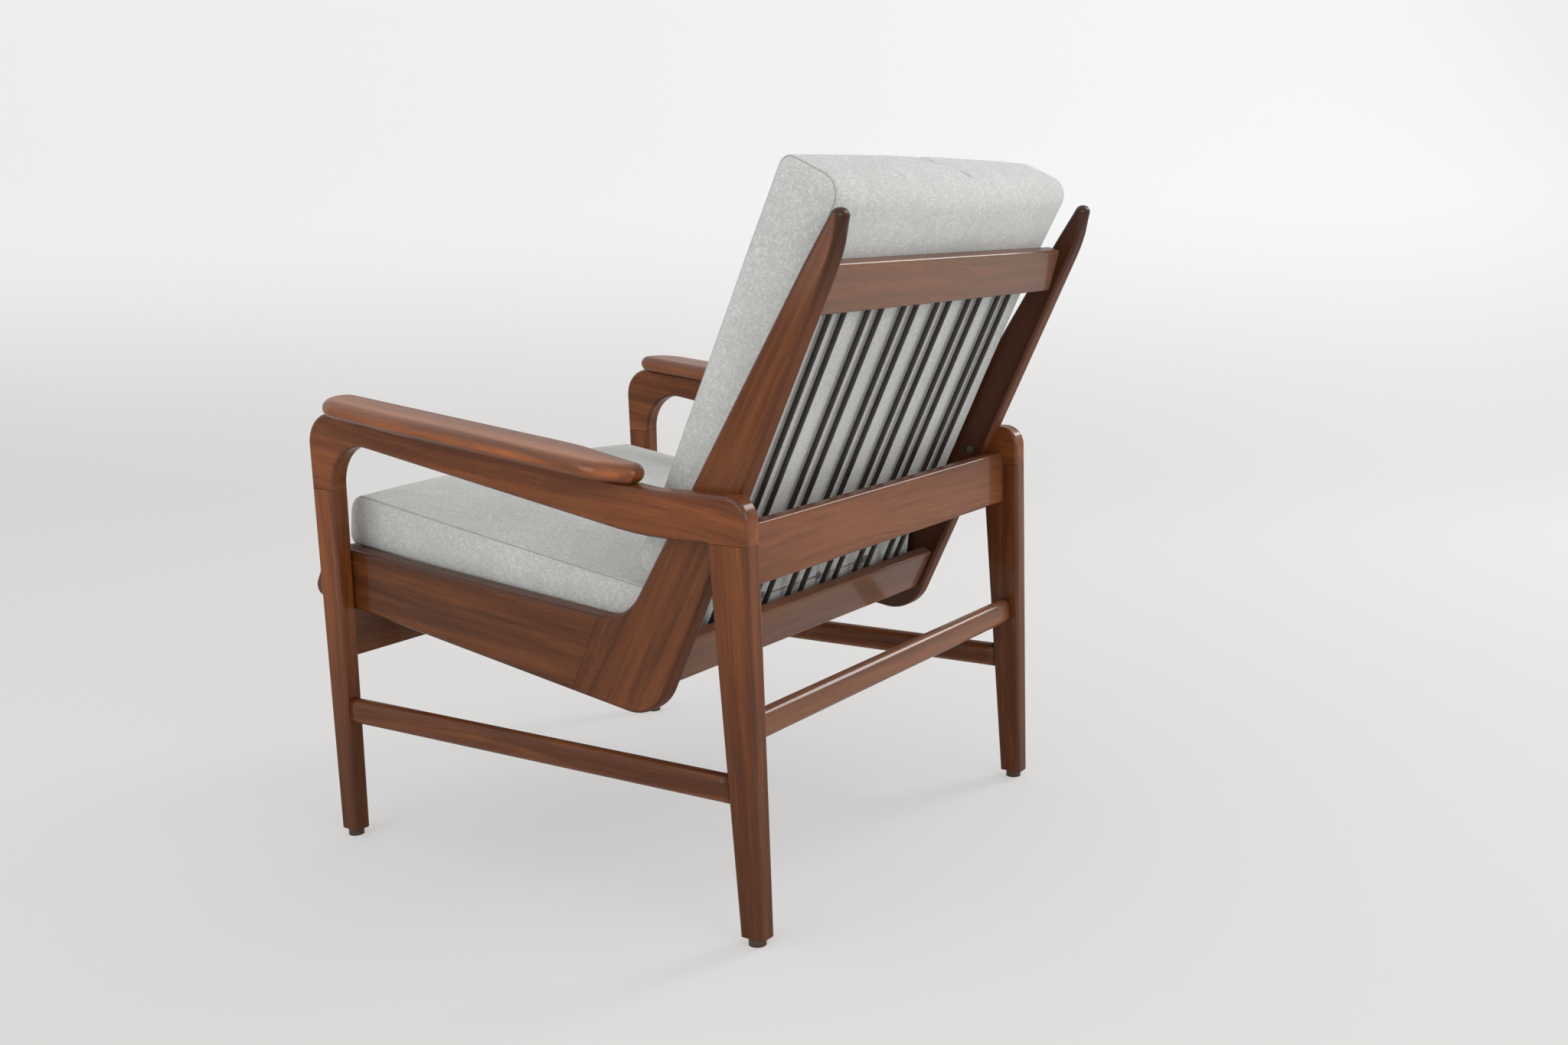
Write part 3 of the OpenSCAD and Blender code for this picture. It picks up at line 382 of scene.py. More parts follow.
# %% Seat side rails and back stiles
def cut(drawn_outline, p, direction, keep_side):
    """The part of an outline on one side of the line through p, with a glued edge on the line."""
    points, rounds = drawn_outline
    normal = np.array([-direction[1], direction[0]]) * keep_side
    away = (points - p) @ normal
    kept_points, kept_rounds = [], []
    for i in range(len(points)):
        j = (i + 1) % len(points)
        crossing = points[i] + (points[j] - points[i]) * away[i] / (away[i] - away[j] + 1e-12)
        if away[i] >= 0:
            kept_points.append(points[i])
            kept_rounds.append(rounds[i])
            if away[j] < 0:
                kept_points.append(crossing)
                kept_rounds.append(GLUED)
        elif away[j] >= 0:
            kept_points.append(crossing)
            kept_rounds.append(rounds[i])
    return np.array(kept_points), np.array(kept_rounds)


joint_ahead = 38
joint_top = inner_corner + joint_ahead * ahead(rail_top_slope)
for side, mirrored in (("left", False), ("right", True)):
    for part, keep_side in (("seat_side_rail", 1), ("back_stile", -1)):
        node = f"{side}_{part}"
        board = cut(panel, joint_top, lean(heel_lean), keep_side)
        keep(node, shaped_board(node + "_wood", board, panel_t / 2, upright_at(panel_mid), upright_turn,
                                mirrored=mirrored))
print("panels:", len(board[0]), "points round a stile")

# %% [markdown]
# The cushions and springs lie on two slanting lines in the side view: the seat line, which
# runs forwards and up from the heel, and the spring line, on which the back springs lie. The
# back rails, the battens and the seat's front rail are all placed from these lines.

# %% Seat line and spring line
back_lean, rail_lean = 26.3, 17.0
seat_len = 538.02
spring_up = lean(back_lean)
spring_out = point(-math.cos(math.radians(back_lean)), math.sin(math.radians(back_lean)))
spring_face = point(41.8, 685)
rail_up = lean(rail_lean)
rail_back = point(math.cos(math.radians(rail_lean)), -math.sin(math.radians(rail_lean)))


def back_at(s, out):
    """A point s up the spring line from the top rail's lower edge, and out in front of it."""
    return spring_face + s * spring_up + out * spring_out


seat_ahead, seat_up = ahead(seat_slope), lean(seat_slope)
seat_over_heel, back_over_springs = 70, 7.7
seat_rear = meet(heel + seat_over_heel * seat_up, seat_ahead, back_at(0, back_over_springs), spring_up)


def seat_at(s, up):
    """A point s forwards on the seat line from the seat cushion's rear, and up from it."""
    return seat_rear + s * seat_ahead + up * seat_up


print("seat line starts at y, z =", [round(float(c), 1) for c in seat_rear])

# %% [markdown]
# The cross pieces are planed boards with softly rounded long edges. They run across the
# chair, so their section is drawn in the side view and carried along x.

# %% Crossbars, back rails, battens and the seat's front rail
crossbar_back, crossbar_low, crossbar_top, crossbar_t = -22, 393.5, 462, 18
front_y, front_low, front_t = -depth + 8, 242.5, 20
top_rail_h, top_rail_t = 54, 18
low_rail_z, low_rail_h, low_rail_t = 327.5, 60, 16
seat_rail_t, seat_rail_h, cushion_gap = 20, 62, 0.3
batten_w, batten_h, batten_back = 18, 22, 14
spring_r, eye_wire, eye_gap = 3.25, 1.25, 0.2
rail_s = seat_len - seat_rail_t
low_s = (low_rail_z - spring_face[1]) / math.cos(math.radians(back_lean))
batten_top = -cushion_gap - spring_r - eye_wire - eye_gap
panel_x = inner_x - panel_t


def board_section(corner, side, other_side):
    """Four corners of a board's section, from one corner and its two sides."""
    return [corner, corner + side, corner + side + other_side, corner + other_side]


def under_seat_line(y):
    """The point at y on the line that rises from the heel with the seat's slope."""
    return meet(point(y, 0), point(0, 1), heel, seat_ahead)


cross_pieces = {
    "rear_crossbar": (board_section(point(crossbar_back - crossbar_t, crossbar_low), point(crossbar_t, 0),
                                    point(0, crossbar_top - crossbar_low)), 3.5, 0, inner_x),
    "front_crossbar": ([point(front_y, front_low), point(front_y + front_t, front_low),
                        under_seat_line(front_y + front_t), under_seat_line(front_y)], 2.5, 0, inner_x),
    "top_back_rail": (board_section(spring_face, top_rail_h * rail_up, top_rail_t * rail_back),
                      3.0, 0, panel_x),
    "lower_back_rail": (board_section(back_at(low_s, 0), -low_rail_t * spring_out, -low_rail_h * spring_up),
                        3.0, 0, panel_x),
    "seat_front_rail": (board_section(seat_at(rail_s, -cushion_gap), -seat_rail_h * seat_up,
                                      seat_rail_t * seat_ahead), 2.5, 0, panel_x),
}
for side, sign in (("left", 1), ("right", -1)):
    cross_pieces[f"{side}_seat_batten"] = (
        board_section(seat_at(batten_back, batten_top), -batten_h * seat_up,
                      (rail_s - cushion_gap - batten_back) * seat_ahead),
        1.5, sign * (panel_x - batten_w / 2), batten_w / 2)
for node, (corners, rounding, x, half) in cross_pieces.items():
    section = outline([(corner, rounding, GLUED) for corner in corners])
    keep(node, shaped_board(node + "_wood", section, half, upright_at(x), upright_turn, steps=1))
print("cross pieces:", sorted(cross_pieces))

# %% [markdown]
# The stretchers are oval bars whose ends meet the legs. A section is swept in a straight
# line, and each end is cut to the slanting face of the leg that it meets.

# %% Oval stretchers
bar_w, bar_h, bar_points = 20.0, 33.0, 48
side_bar_z, rear_bar_y, rear_bar_z = 173.0, -22.0, 241.5


def oval_bar(name, centre_yz, along_y, ends):
    """Bar of oval section. along_y says which way it runs; ends gives both end positions at a height."""
    mesh = bpy.data.meshes.new(name)
    bm = bmesh.new()
    rings = []
    for t in (0.0, 0.02, 0.25, 0.5, 0.75, 0.98, 1.0):
        ring = []
        for i in range(bar_points):
            a = 2 * math.pi * i / bar_points
            across = bar_w / 2 * math.cos(a)
            high = bar_w / 2 * math.sin(a) + math.copysign((bar_h - bar_w) / 2, math.sin(a))
            z = centre_yz[1] + high
            first, last = ends(z)
            run = first + (last - first) * t
            if along_y:
                ring.append(bm.verts.new(((centre_yz[0] + across) * MM, (run + back_of_legs) * MM, z * MM)))
            else:
                ring.append(bm.verts.new((run * MM, (centre_yz[0] + across + back_of_legs) * MM, z * MM)))
        rings.append(ring)
    for a, b in zip(rings, rings[1:]):
        for i in range(bar_points):
            j = (i + 1) % bar_points
            bm.faces.new((a[i], a[j], b[j], b[i])).smooth = True
    bm.faces.new(rings[0])
    bm.faces.new(rings[-1])
    bmesh.ops.recalc_face_normals(bm, faces=bm.faces)
    bm.to_mesh(mesh)
    bm.free()
    wear = mesh.attributes.new("worn", "FLOAT", "POINT")
    wear.data.foreach_set("value", [0.15] * len(mesh.vertices))
    piece = added(name, mesh)
    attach(piece, "frame")
    return piece


def leg_faces(z):
    """Where the inner faces of the front and the rear leg stand at a height."""
    front_up = (z - glide_h) / (front_joint - glide_h)
    rear_up = (z - glide_h) / (rear_joint - glide_h)
    front = -depth + front_foot_w + (front_top_w - front_foot_w) * front_up
    rear = -rear_foot_w - (rear_top_w - rear_foot_w) * rear_up
    return front, rear


for side, sign in (("left", 1), ("right", -1)):
    node = f"{side}_side_stretcher"
    keep(node, oval_bar(node + "_wood", (sign * frame_mid, side_bar_z), True, leg_faces))
keep("rear_stretcher", oval_bar("rear_stretcher_wood", (rear_bar_y, rear_bar_z), False,
                                lambda z: (-inner_x, inner_x)))
print("wooden pieces:", len(made))

# %% [markdown]
# A shader is a sum of sockets. This small class wraps one socket of a node, so that a line of
# Python such as streaks * 0.6 + 0.2 adds the Math nodes that do it. Every other node comes
# from its one method, which takes the node's type, its settings and what its sockets get.

# %% Sockets that take part in sums
class Sock:
    def __init__(self, tree, socket=None):
        self.tree = tree
        self.socket = socket

    def node(self, kind, settings=None, values=None, out=0):
        made_node = self.tree.nodes.new(kind)
        for key, value in (settings or {}).items():
            setattr(made_node, key, value)
        for key, value in (values or {}).items():
            if isinstance(value, Sock):
                self.tree.links.new(value.socket, made_node.inputs[key])
            else:
                made_node.inputs[key].default_value = value
        return Sock(self.tree, made_node.outputs[out])

    def _sum(self, operation, a, b=0.0, limit=False):
        return self.node("ShaderNodeMath", {"operation": operation, "use_clamp": limit}, {0: a, 1: b})

    def __add__(self, other):
        return self._sum("ADD", self, other)

    def __radd__(self, other):
        return self._sum("ADD", other, self)

    def __sub__(self, other):
        return self._sum("SUBTRACT", self, other)

    def __rsub__(self, other):
        return self._sum("SUBTRACT", other, self)

    def __mul__(self, other):
        return self._sum("MULTIPLY", self, other)

    def __rmul__(self, other):
        return self._sum("MULTIPLY", other, self)

    def kept(self):
        """The value, held between 0 and 1."""
        return self._sum("ADD", self, 0.0, True)

    def step(self, low, high):
        """0 below low, 1 above high, and a smooth rise between them."""
        return self.node("ShaderNodeMapRange", {"interpolation_type": "SMOOTHSTEP"},
                         {0: self, 1: low, 2: high, 3: 0.0, 4: 1.0})


# %% [markdown]
# A few finishes share the same steps: two colours that turn into each other, noise that is
# stretched, a mark that was kept on the mesh, a height on the piece, and the last nodes.
# The floor has two surfaces, one for the light that falls on it and one for the camera.

# %% Steps that the finishes share
def blend_colour(a, b, amount):
    """Colour a, turning into b by an amount from 0 to 1."""
    picked = {0: amount}
    for key, colour in ((6, a), (7, b)):
        picked[key] = colour if isinstance(colour, Sock) else (*colour, 1.0)
    return amount.node("ShaderNodeMix", {"data_type": "RGBA"}, picked, out=2)


def darker(colour, share):
    return tuple(share * c for c in colour)


def grained(root, vector, scale, detail=4.0, rough=0.55, out=0):
    """Noise that is stretched by a different scale along each axis."""
    stretched = root.node("ShaderNodeVectorMath", {"operation": "MULTIPLY"}, {0: vector, 1: scale})
    return root.node("ShaderNodeTexNoise", {"noise_dimensions": "3D"},
                     {"Vector": stretched, "Scale": 1.0, "Detail": detail, "Roughness": rough}, out=out)


def marked(root, name):
    """A mark that was kept on the points of the mesh."""
    return root.node("ShaderNodeAttribute", {"attribute_name": name}, out="Fac")


def own_place(root, axis):
    """A point's own x, y or z on the piece, in metres, as axis 0, 1 or 2."""
    place = root.node("ShaderNodeTexCoord", out="Object")
    return root.node("ShaderNodeSeparateXYZ", {}, {0: place}, out=axis)


def bumped(root, height, strength, distance):
    return root.node("ShaderNodeBump", {}, {"Strength": strength, "Distance": distance, "Height": height})


def new_material(name):
    material = bpy.data.materials.new(name)
    material.use_nodes = True
    tree = material.node_tree
    tree.nodes.clear()
    return material, Sock(tree)


def finish_material(root, inputs, seen_inputs=None):
    """A Principled surface joined to the material's output; the camera may see a second one."""
    surface = root.node("ShaderNodeBsdfPrincipled", {}, inputs)
    if seen_inputs:
        seen_surface = root.node("ShaderNodeBsdfPrincipled", {}, seen_inputs)
        by_camera = root.node("ShaderNodeLightPath", out="Is Camera Ray")
        surface = root.node("ShaderNodeMixShader", {}, {0: by_camera, 1: surface, 2: seen_surface})
    output = root.tree.nodes.new("ShaderNodeOutputMaterial")
    root.tree.links.new(surface.socket, output.inputs["Surface"])


# %% [markdown]
# The hardwood is red brown with long darker streaks, fine open pores and a satin lacquer.
# Noise that is stretched along the grain gives the streaks; the grain runs along each board,
# so every board has its own direction, and its own place in the noise, as it had in the tree.

# %% Grain of a board
def laid_along(root, direction, shift):
    """Object coordinates turned so that the first axis runs along a direction."""
    along = Vector(direction).normalized()
    across = Vector((0, 0, 1)) if abs(along.z) < 0.9 else Vector((1, 0, 0))
    side = along.cross(across).normalized()
    up = side.cross(along)
    rotation = Matrix((along, side, up)).to_euler()
    place = root.node("ShaderNodeTexCoord", out="Object")
    return root.node("ShaderNodeMapping", {"vector_type": "POINT"},
                     {"Vector": place, "Location": shift, "Rotation": rotation})


def grain_masks(root, direction, number):
    """Wander, bands, streaks, cloud, fibres and pores of the board with this number."""
    place = laid_along(root, direction, (0.37 * number, 1.9 * number, 0.83 * number))
    wander = grained(root, place, (1.6, 9.0, 9.0), 2.0)
    bent = root.node("ShaderNodeVectorMath", {"operation": "MULTIPLY_ADD"},
                     {0: grained(root, place, (1.6, 6.0, 6.0), 2.0, out=1), 1: (0.0, 0.05, 0.05), 2: place})
    bands = grained(root, bent, (1.1, 24.0, 24.0), 3.0, 0.6)
    streaks = grained(root, bent, (2.4, 95.0, 95.0), 6.0, 0.68)
    cloud = grained(root, place, (2.6, 13.0, 13.0), 3.0, 0.6)
    fibres = grained(root, bent, (14.0, 620.0, 620.0), 3.0, 0.6)
    pores = grained(root, bent, (70.0, 1500.0, 1500.0), 2.0, 0.5).step(0.60, 0.72)
    return wander, bands, streaks, cloud, fibres, pores


# %% [markdown]
# The rounded edges are darker and glossier than the faces. The stiles' long rear edges are
# duller and painted darker as shade, and darker still at the horns; the legs are darker
# towards the floor, and the far stile's inner face is painted dark as shade.

# %% Satin hardwood
DARK_STAIN, MIDDLE_STAIN = (0.078, 0.0205, 0.0048), (0.166, 0.0465, 0.0115)
# The second colour on the next line is no stain but a painted reflection of the pale room.
LIGHT_STAIN, REFLECTED_HAZE = (0.295, 0.098, 0.028), (0.29, 0.205, 0.165)
# The next colour is painted shade for the stiles' narrow rear faces, which get less light.
REAR_SHADE_COLOUR = (0.115, 0.032, 0.010)
foot_shade_ends = 0.42                  # heights in metres
horn_shade = (0.64, 0.78)
far_inner_face = (-0.2995, -0.2765)     # from the far stile's outer face to its inner one, in metres


def hardwood(name, direction, number, tone=1.0, pale=0.0, rear_face_shade=0.0, dark_foot=0.0, dark_inside=0.0,
             gloss=0.4):
    material, root = new_material(name)
    wander, bands, streaks, cloud, fibres, pores = grain_masks(root, direction, number)

    # A share of pale mixes a painted reflection of the pale room into each stain.
    def tinted(stain):
        return tuple(tone * (c * (1 - pale) + p * pale) for c, p in zip(stain, REFLECTED_HAZE))

    dark, middle, light = tinted(DARK_STAIN), tinted(MIDDLE_STAIN), tinted(LIGHT_STAIN)
    figure = (bands * 0.5 + streaks * 0.35 + cloud * 0.15).step(0.38, 0.62)
    colour = blend_colour(dark, middle, figure)
    colour = blend_colour(colour, light, (streaks * 0.5 + fibres * 0.5).step(0.47, 0.75) * 0.5)
    colour = blend_colour(colour, light, (bands * 0.4 + cloud * 0.6).step(0.50, 0.70) * 0.35)
    colour = blend_colour(colour, dark, (1 - streaks).step(0.56, 0.70) * 0.4)
    colour = blend_colour(colour, darker(dark, 0.5), pores * 0.5)
    edge_rounding = marked(root, "worn")
    colour = blend_colour(colour, darker(dark, 0.5), edge_rounding * (wander.step(0.3, 0.7) * 0.3 + 0.35))
    coat = gloss + edge_rounding * 0.4
    # Painted shade: the far stile's inner face is darkened, as it gets little light.
    if dark_inside:
        inner = own_place(root, 0).step(*far_inner_face)
        colour = blend_colour(colour, darker(dark, 0.6), inner * dark_inside)
    # Painted shade: the stiles' narrow rear faces take a darker colour, and the horn tips are darker still.
    if rear_face_shade:
        narrow_face = marked(root, "narrow")
        colour = blend_colour(colour, REAR_SHADE_COLOUR, narrow_face * rear_face_shade)
        horn_tip = own_place(root, 2).step(*horn_shade)
        colour = blend_colour(colour, darker(dark, 0.4), (narrow_face + edge_rounding).kept() * horn_tip * 0.85)
        coat = coat * (1 - narrow_face * 0.75)
    if dark_foot:
        foot = 1 - own_place(root, 2).step(0.0, foot_shade_ends)
        colour = blend_colour(colour, darker(dark, 0.6), foot * dark_foot)
    rough = 0.42 + streaks * 0.16 + pores * 0.12 - edge_rounding * 0.1
    relief = fibres * 0.5 + streaks * 0.5 - pores * 0.6
    finish_material(root, {"Base Color": colour, "Roughness": rough,
                           "Normal": bumped(root, relief, 0.22, 0.0004),
                           "Coat Weight": coat, "Coat Roughness": 0.11, "Specular IOR Level": 0.1})
    return material


# %% [markdown]
# Each board gets the direction of its grain and a tone, which is above 1 where the wood is
# lighter: the paddles are the palest, and the seat side rails come from a darker plank. The
# cross pieces also take up some of a greyer, paler colour, a painted reflection of the pale room.

# %% Wood of every piece
grain_of = {
    "front_leg": ((0, -0.03, 1), 1.26), "rear_leg": ((0, -0.03, 1), 1.08), "arm_rail": ((0, -1, 0.14), 1.18),
    "arm_paddle": ((0.03, -1, 0.125), 1.75), "side_stretcher": ((0, 1, 0), 1.02),
    "seat_side_rail": ((0, -1, 0.13), 0.74), "back_stile": ((0, 0.50, 0.87), 0.90),
    "seat_batten": ((0, -1, 0.16), 0.8)}
own_finish = {
    "front_leg": {"dark_foot": 0.75}, "rear_leg": {"dark_foot": 0.35}, "arm_paddle": {"gloss": 0.6},
    "back_stile": {"rear_face_shade": 0.8}}
numbers = iter(range(1, 99))
for side in ("left", "right"):
    for part, (direction, tone) in grain_of.items():
        node = f"{side}_{part}"
        finish = dict(own_finish.get(part, {}))
        # The far stile's inner face gets painted shade.
        if node == "right_back_stile":
            finish["dark_inside"] = 0.85
        wood = hardwood(f"{node.replace('_', ' ')} wood", direction, next(numbers), tone, **finish)
        made[node].data.materials.append(wood)
across_chair = (1, 0, 0.01)
tone_and_pale = {
    "rear_stretcher": (1.2, 0.12), "rear_crossbar": (1.12, 0.06), "front_crossbar": (0.8, 0.0),
    "top_back_rail": (0.98, 0.26), "lower_back_rail": (1.0, 0.22), "seat_front_rail": (0.85, 0.0)}
for node, (tone, pale) in tone_and_pale.items():
    wood = hardwood(node.replace("_", " ") + " wood", across_chair, next(numbers), tone, pale)
    made[node].data.materials.append(wood)
print("wood materials:", len([m for m in bpy.data.materials if "wood" in m.name]))

# %% [markdown]
# The springs are coils in smooth dark sleeves, the screws plain steel, the glides brown
# plastic and the dowels beech. Their CAD shapes are right, so they only get their finish.

# %% Finishes of the springs and fixings
def small_finish(name, colour, second, rough, metallic, scale, bump_by):
    """A mottled finish with small worn spots; scale is in spots to the metre."""
    material, root = new_material(name)
    place = root.node("ShaderNodeTexCoord", out="Object")
    coarse = grained(root, place, (scale, scale, scale), 4.0)
    fine = grained(root, place, (scale * 8, scale * 8, scale * 8), 3.0)
    worn_spots = (coarse * 0.6 + fine * 0.4).step(0.55, 0.72)
    tint = blend_colour(colour, second, coarse.step(0.35, 0.7) * 0.7)
    finish_material(root, {"Base Color": tint, "Roughness": rough + worn_spots * 0.18, "Metallic": metallic,
                           "Normal": bumped(root, fine, 0.3, bump_by)})
    return material


sleeve = small_finish("spring sleeve", (0.016, 0.009, 0.0065), (0.034, 0.019, 0.014), 0.42, 0.0, 60, 0.0001)
steel = small_finish("screw steel", (0.13, 0.12, 0.11), (0.22, 0.21, 0.20), 0.38, 1.0, 300, 0.00005)
glide = small_finish("glide plastic", (0.050, 0.026, 0.017), (0.080, 0.042, 0.028), 0.38, 0.0, 90, 0.0001)
beech = hardwood("beech dowels", (1, 0, 0), 60, 3.2)
for node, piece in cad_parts.items():
    finish = (sleeve if "spring" in node else steel if "screw" in node else glide if "glide" in node
              else beech if node == "frame_dowels" else None)
    if finish:
        piece.data.materials.clear()
        piece.data.materials.append(finish)
print("springs and fixings are finished")

# %% [markdown]
# Each cushion is a boxed cover: one long piece of fabric runs over the front, the top end and
# the back, and a flat side panel closes it on either side, with a plain seam between them.
# A cover could be a subdivided box, but then the seams would wander. Here the outline of the
# side panel is carried across in rings, close together at the seams, so that a seam is an
# exact line. The rings also swell in the middle, as foam does in a cover.

# %% Outline of a side panel
CUSHION_W = 544.0      # over the side panels, 3 mm clear of the wood on either side
SEAM_IN = 5.0          # how far a seam lies inside the panel's fullest line
POINT_EVERY = 6.0      # along the straight sides of the outline
CORNER_STEP = 13.0     # degrees between the points of a corner


def side_outline(length, height, radii):
    """Closed outline, from the far upper corner to the near one and back below."""
    corners = [point(length, height), point(0, height), point(0, 0), point(length, 0)]
    turned = [fillet(corners[i - 1], corners[i], corners[(i + 1) % 4], radii[i], CORNER_STEP)
              for i in range(4)]
    points = []
    for i in range(4):
        points += turned[i]
        first, last = turned[i][-1], turned[(i + 1) % 4][0]
        count = max(1, round(float(np.linalg.norm(last - first)) / POINT_EVERY))
        points += [first + (last - first) * k / count for k in range(1, count)]
    return np.array(points)


seat_h, seat_radii = 70.0, (25, 15, 15, 15)
back_len, back_h, back_radii = 501.0, 81.0, (15, 15, 15, 25)
print("seat side panel:", len(side_outline(seat_len, seat_h, seat_radii)), "points round")

# %% [markdown]
# A ring is the side panel's outline at one x. On the wrapped part it swells by the crown and
# the ends. On the side panel it shrinks towards the panel's middle line, and stands out a
# little. The seam is a narrow groove between the two.

# %% Rings of a cushion
RING_EVERY = 5.8       # across the wrapped part
PULLED_IN = 4.0        # how far a seam draws up the cover's underside
# How far a ring stands outside the seam, and how far it is drawn in from the outline
beside_seam = [(0.0, 1.7), (-0.5, 0.9), (-1.1, 0.35), (-2.0, 0.1), (-3.6, 0.0), (-6.0, 0.0)]
over_panel = [(0.5, 1.9), (1.1, 2.3), (2.0, 3.6), (2.9, 6.5), (3.7, 10.5), (4.3, 16.0), (4.7, 22.0),
              (4.9, 28.0)]


def ring(edge, size, inset, full, crown, ends, pulled):
    length, height = size
    u, v = 2 * edge[:, 0] / length - 1, 2 * edge[:, 1] / height - 1
    along = np.where(u < 0, 1 - u * u, 1 - u ** 4)
    y = edge[:, 0] + ends * full * u ** 7 * (1 - v * v / 2)
    crowned = np.maximum(0, v) * crown * full * along
    z = edge[:, 1] + crowned + pulled * np.maximum(0, -v) * (1 - np.abs(u) ** 8)
    t = min(1.0, inset / (height / 2))
    middle_y = np.clip(edge[:, 0], height / 2, length - height / 2)
    return np.column_stack([y * (1 - t) + middle_y * t, z * (1 - t) + height / 2 * t])


def cushion_grid(size, radii, crown, ends, side_swell):
    """Points of all rings, one row per ring, and how much of a seam each ring is."""
    edge = side_outline(*size, radii)
    seam_x = CUSHION_W / 2 - SEAM_IN
    on_panel = [(SEAM_IN, size[1])] + over_panel[::-1]
    half = [(seam_x + dx * side_swell / SEAM_IN, inset, 0.0) for dx, inset in on_panel]
    half += [(seam_x + dx, inset, 1 - abs((seam_x + dx) / seam_x) ** 3) for dx, inset in beside_seam]
    count = round((seam_x - 10) / RING_EVERY)
    half += [(x, 0.0, 1 - (x / seam_x) ** 3) for x in np.linspace(seam_x - 10, 0, count)[:-1]]
    half.append((0.0, 0.0, 1.0))
    rows = half + [(-x, inset, full) for x, inset, full in half[-2::-1]]
    grid, seams = [], []
    for x, inset, full in rows:
        pulled = PULLED_IN * min(1.0, abs(x) / seam_x) ** 8
        flat = ring(edge, size, inset, max(0.0, full), crown, ends, pulled)
        grid.append(np.column_stack([np.full(len(flat), x), flat]))
        seams.append(max(0.0, 1 - abs(abs(x) - seam_x - 0.1) / 1.1))
    return np.array(grid), np.array(seams)


def mesh_of(name, grid, mirrored):
    rows, count = grid.shape[:2]
    points = grid.reshape(-1, 3) * MM
    if mirrored:
        points = points * np.array([1, -1, 1])
    faces = []
    for r in range(rows - 1):
        for i in range(count):
            j = (i + 1) % count
            face = [r * count + i, (r + 1) * count + i, (r + 1) * count + j, r * count + j]
            faces.append(face[::-1] if mirrored else face)
    mesh = bpy.data.meshes.new(name)
    mesh.from_pydata(points.tolist(), [], faces)
    return mesh


def coordinates(mesh):
    flat = np.zeros(len(mesh.vertices) * 3)
    mesh.vertices.foreach_get("co", flat)
    return flat.reshape(-1, 3)


print("a cushion is", CUSHION_W, "mm wide, its seams", SEAM_IN, "mm in")

# %% [markdown]
# The cover is stuffed by a cloth simulation. A copy of the cushion gets even small faces from a
# voxel remesh, its seams are pinned and air pressure blows it up. The seams of the real piece
# would be lost in the remesh, so only the motion is taken back: every point of the ringed mesh
# moves as the nearest points of the copy did.

# %% Blowing up a cover
VOXEL, PIN_REACH = 0.006, 0.009
PRESSURE, LAST_FRAME, NEIGHBOURS = 4.0, 20, 6


def tree_of(points):
    tree = kdtree.KDTree(len(points))
    for i, p in enumerate(points):
        tree.insert(p, i)
    tree.balance()
    return tree


def now_meshed(item):
    """The object as its modifiers make it at this frame."""
    return item.evaluated_get(bpy.context.evaluated_depsgraph_get())


def blown_up(mesh, seam_points):
    """How far a stuffed copy of the mesh moves, at each of the mesh's own points."""
    twin = added("cover_copy", mesh.copy())
    remesh = twin.modifiers.new("even faces", "REMESH")
    remesh.mode = "VOXEL"
    remesh.voxel_size = VOXEL
    bpy.context.view_layer.update()
    even = bpy.data.meshes.new_from_object(now_meshed(twin))
    twin.modifiers.clear()
    twin.data = even
    start = coordinates(even)
    seam_tree = tree_of(seam_points)
    group = twin.vertex_groups.new(name="seam")
    for i, p in enumerate(start):
        if seam_tree.find(p)[2] < PIN_REACH:
            group.add([i], 1.0, "REPLACE")
    cloth = twin.modifiers.new("stuffing", "CLOTH")
    cloth.settings.use_pressure = True
    cloth.settings.uniform_pressure_force = PRESSURE
    cloth.settings.vertex_group_mass = "seam"
    cloth.settings.effector_weights.gravity = 0.0
    cloth.settings.quality = 5
    cloth.point_cache.frame_start, cloth.point_cache.frame_end = 1, LAST_FRAME
    for f in range(1, LAST_FRAME + 1):
        bpy.context.scene.frame_set(f)
    moved = coordinates(now_meshed(twin).data) - start
    tree = tree_of(start)
    motion = []
    for p in coordinates(mesh):
        near = tree.find_n(p, NEIGHBOURS)
        weights = np.array([1 / (away + 0.002) ** 2 for _, _, away in near])
        motion.append(sum(w * moved[i] for w, (_, i, _) in zip(weights, near)) / weights.sum())
    bpy.context.scene.frame_set(1)
    bpy.data.objects.remove(twin)
    print("cover copy:", len(start), "points, moved up to", round(float(np.abs(moved).max()) * 1000, 1), "mm")
    return np.array(motion)


# %% [markdown]
# The stuffed shape is held between a slack form and a full one, which has the room that the
# chair leaves for it: flat on the springs and battens, clear of the panels.

# %% Holding a stuffed cover
LEAST_FULL = 0.88                  # share of the room that the foam always fills
UNDER, OVER = 0.0003, 0.0006       # how far the cover may stay under or over that, in metres
MOST_SLIDE = 0.002


def stuffed(name, mesh, start, normals, seam, room):
    """How far each point rises out of the slack form, and how it slides along it."""
    motion = blown_up(mesh, start[seam > 0.9][::3])
    out = (motion * normals).sum(1)
    wanted = np.maximum(room, 0.0)
    rise = np.clip(out, LEAST_FULL * wanted - UNDER, wanted + OVER)
    slide = motion - out[:, None] * normals
    length = np.linalg.norm(slide, axis=1)[:, None]
    slide *= np.minimum(1.0, MOST_SLIDE / (length + 1e-9))
    print(name, "reaches", round(float((out > room).mean()) * 100), "% of its full form")
    return rise, slide


def over_rail(start, placed, start_y, end_y, deep):
    """How far the flat back of a cover bulges out between two heights, highest in the middle."""
    along = np.abs(placed[:, 1]) / MM
    bulge = -deep * np.sin(np.pi * np.clip((along - start_y) / (end_y - start_y), 0, 1))
    flat_side = 0.012
    near_back = np.clip(1 - start[:, 2] / flat_side, 0, 1)
    swell = np.where(start[:, 2] < flat_side, bulge * MM * near_back, 0)
    return swell * (1 - np.abs(start[:, 0]) / (CUSHION_W / 2 * MM)) ** 0.35


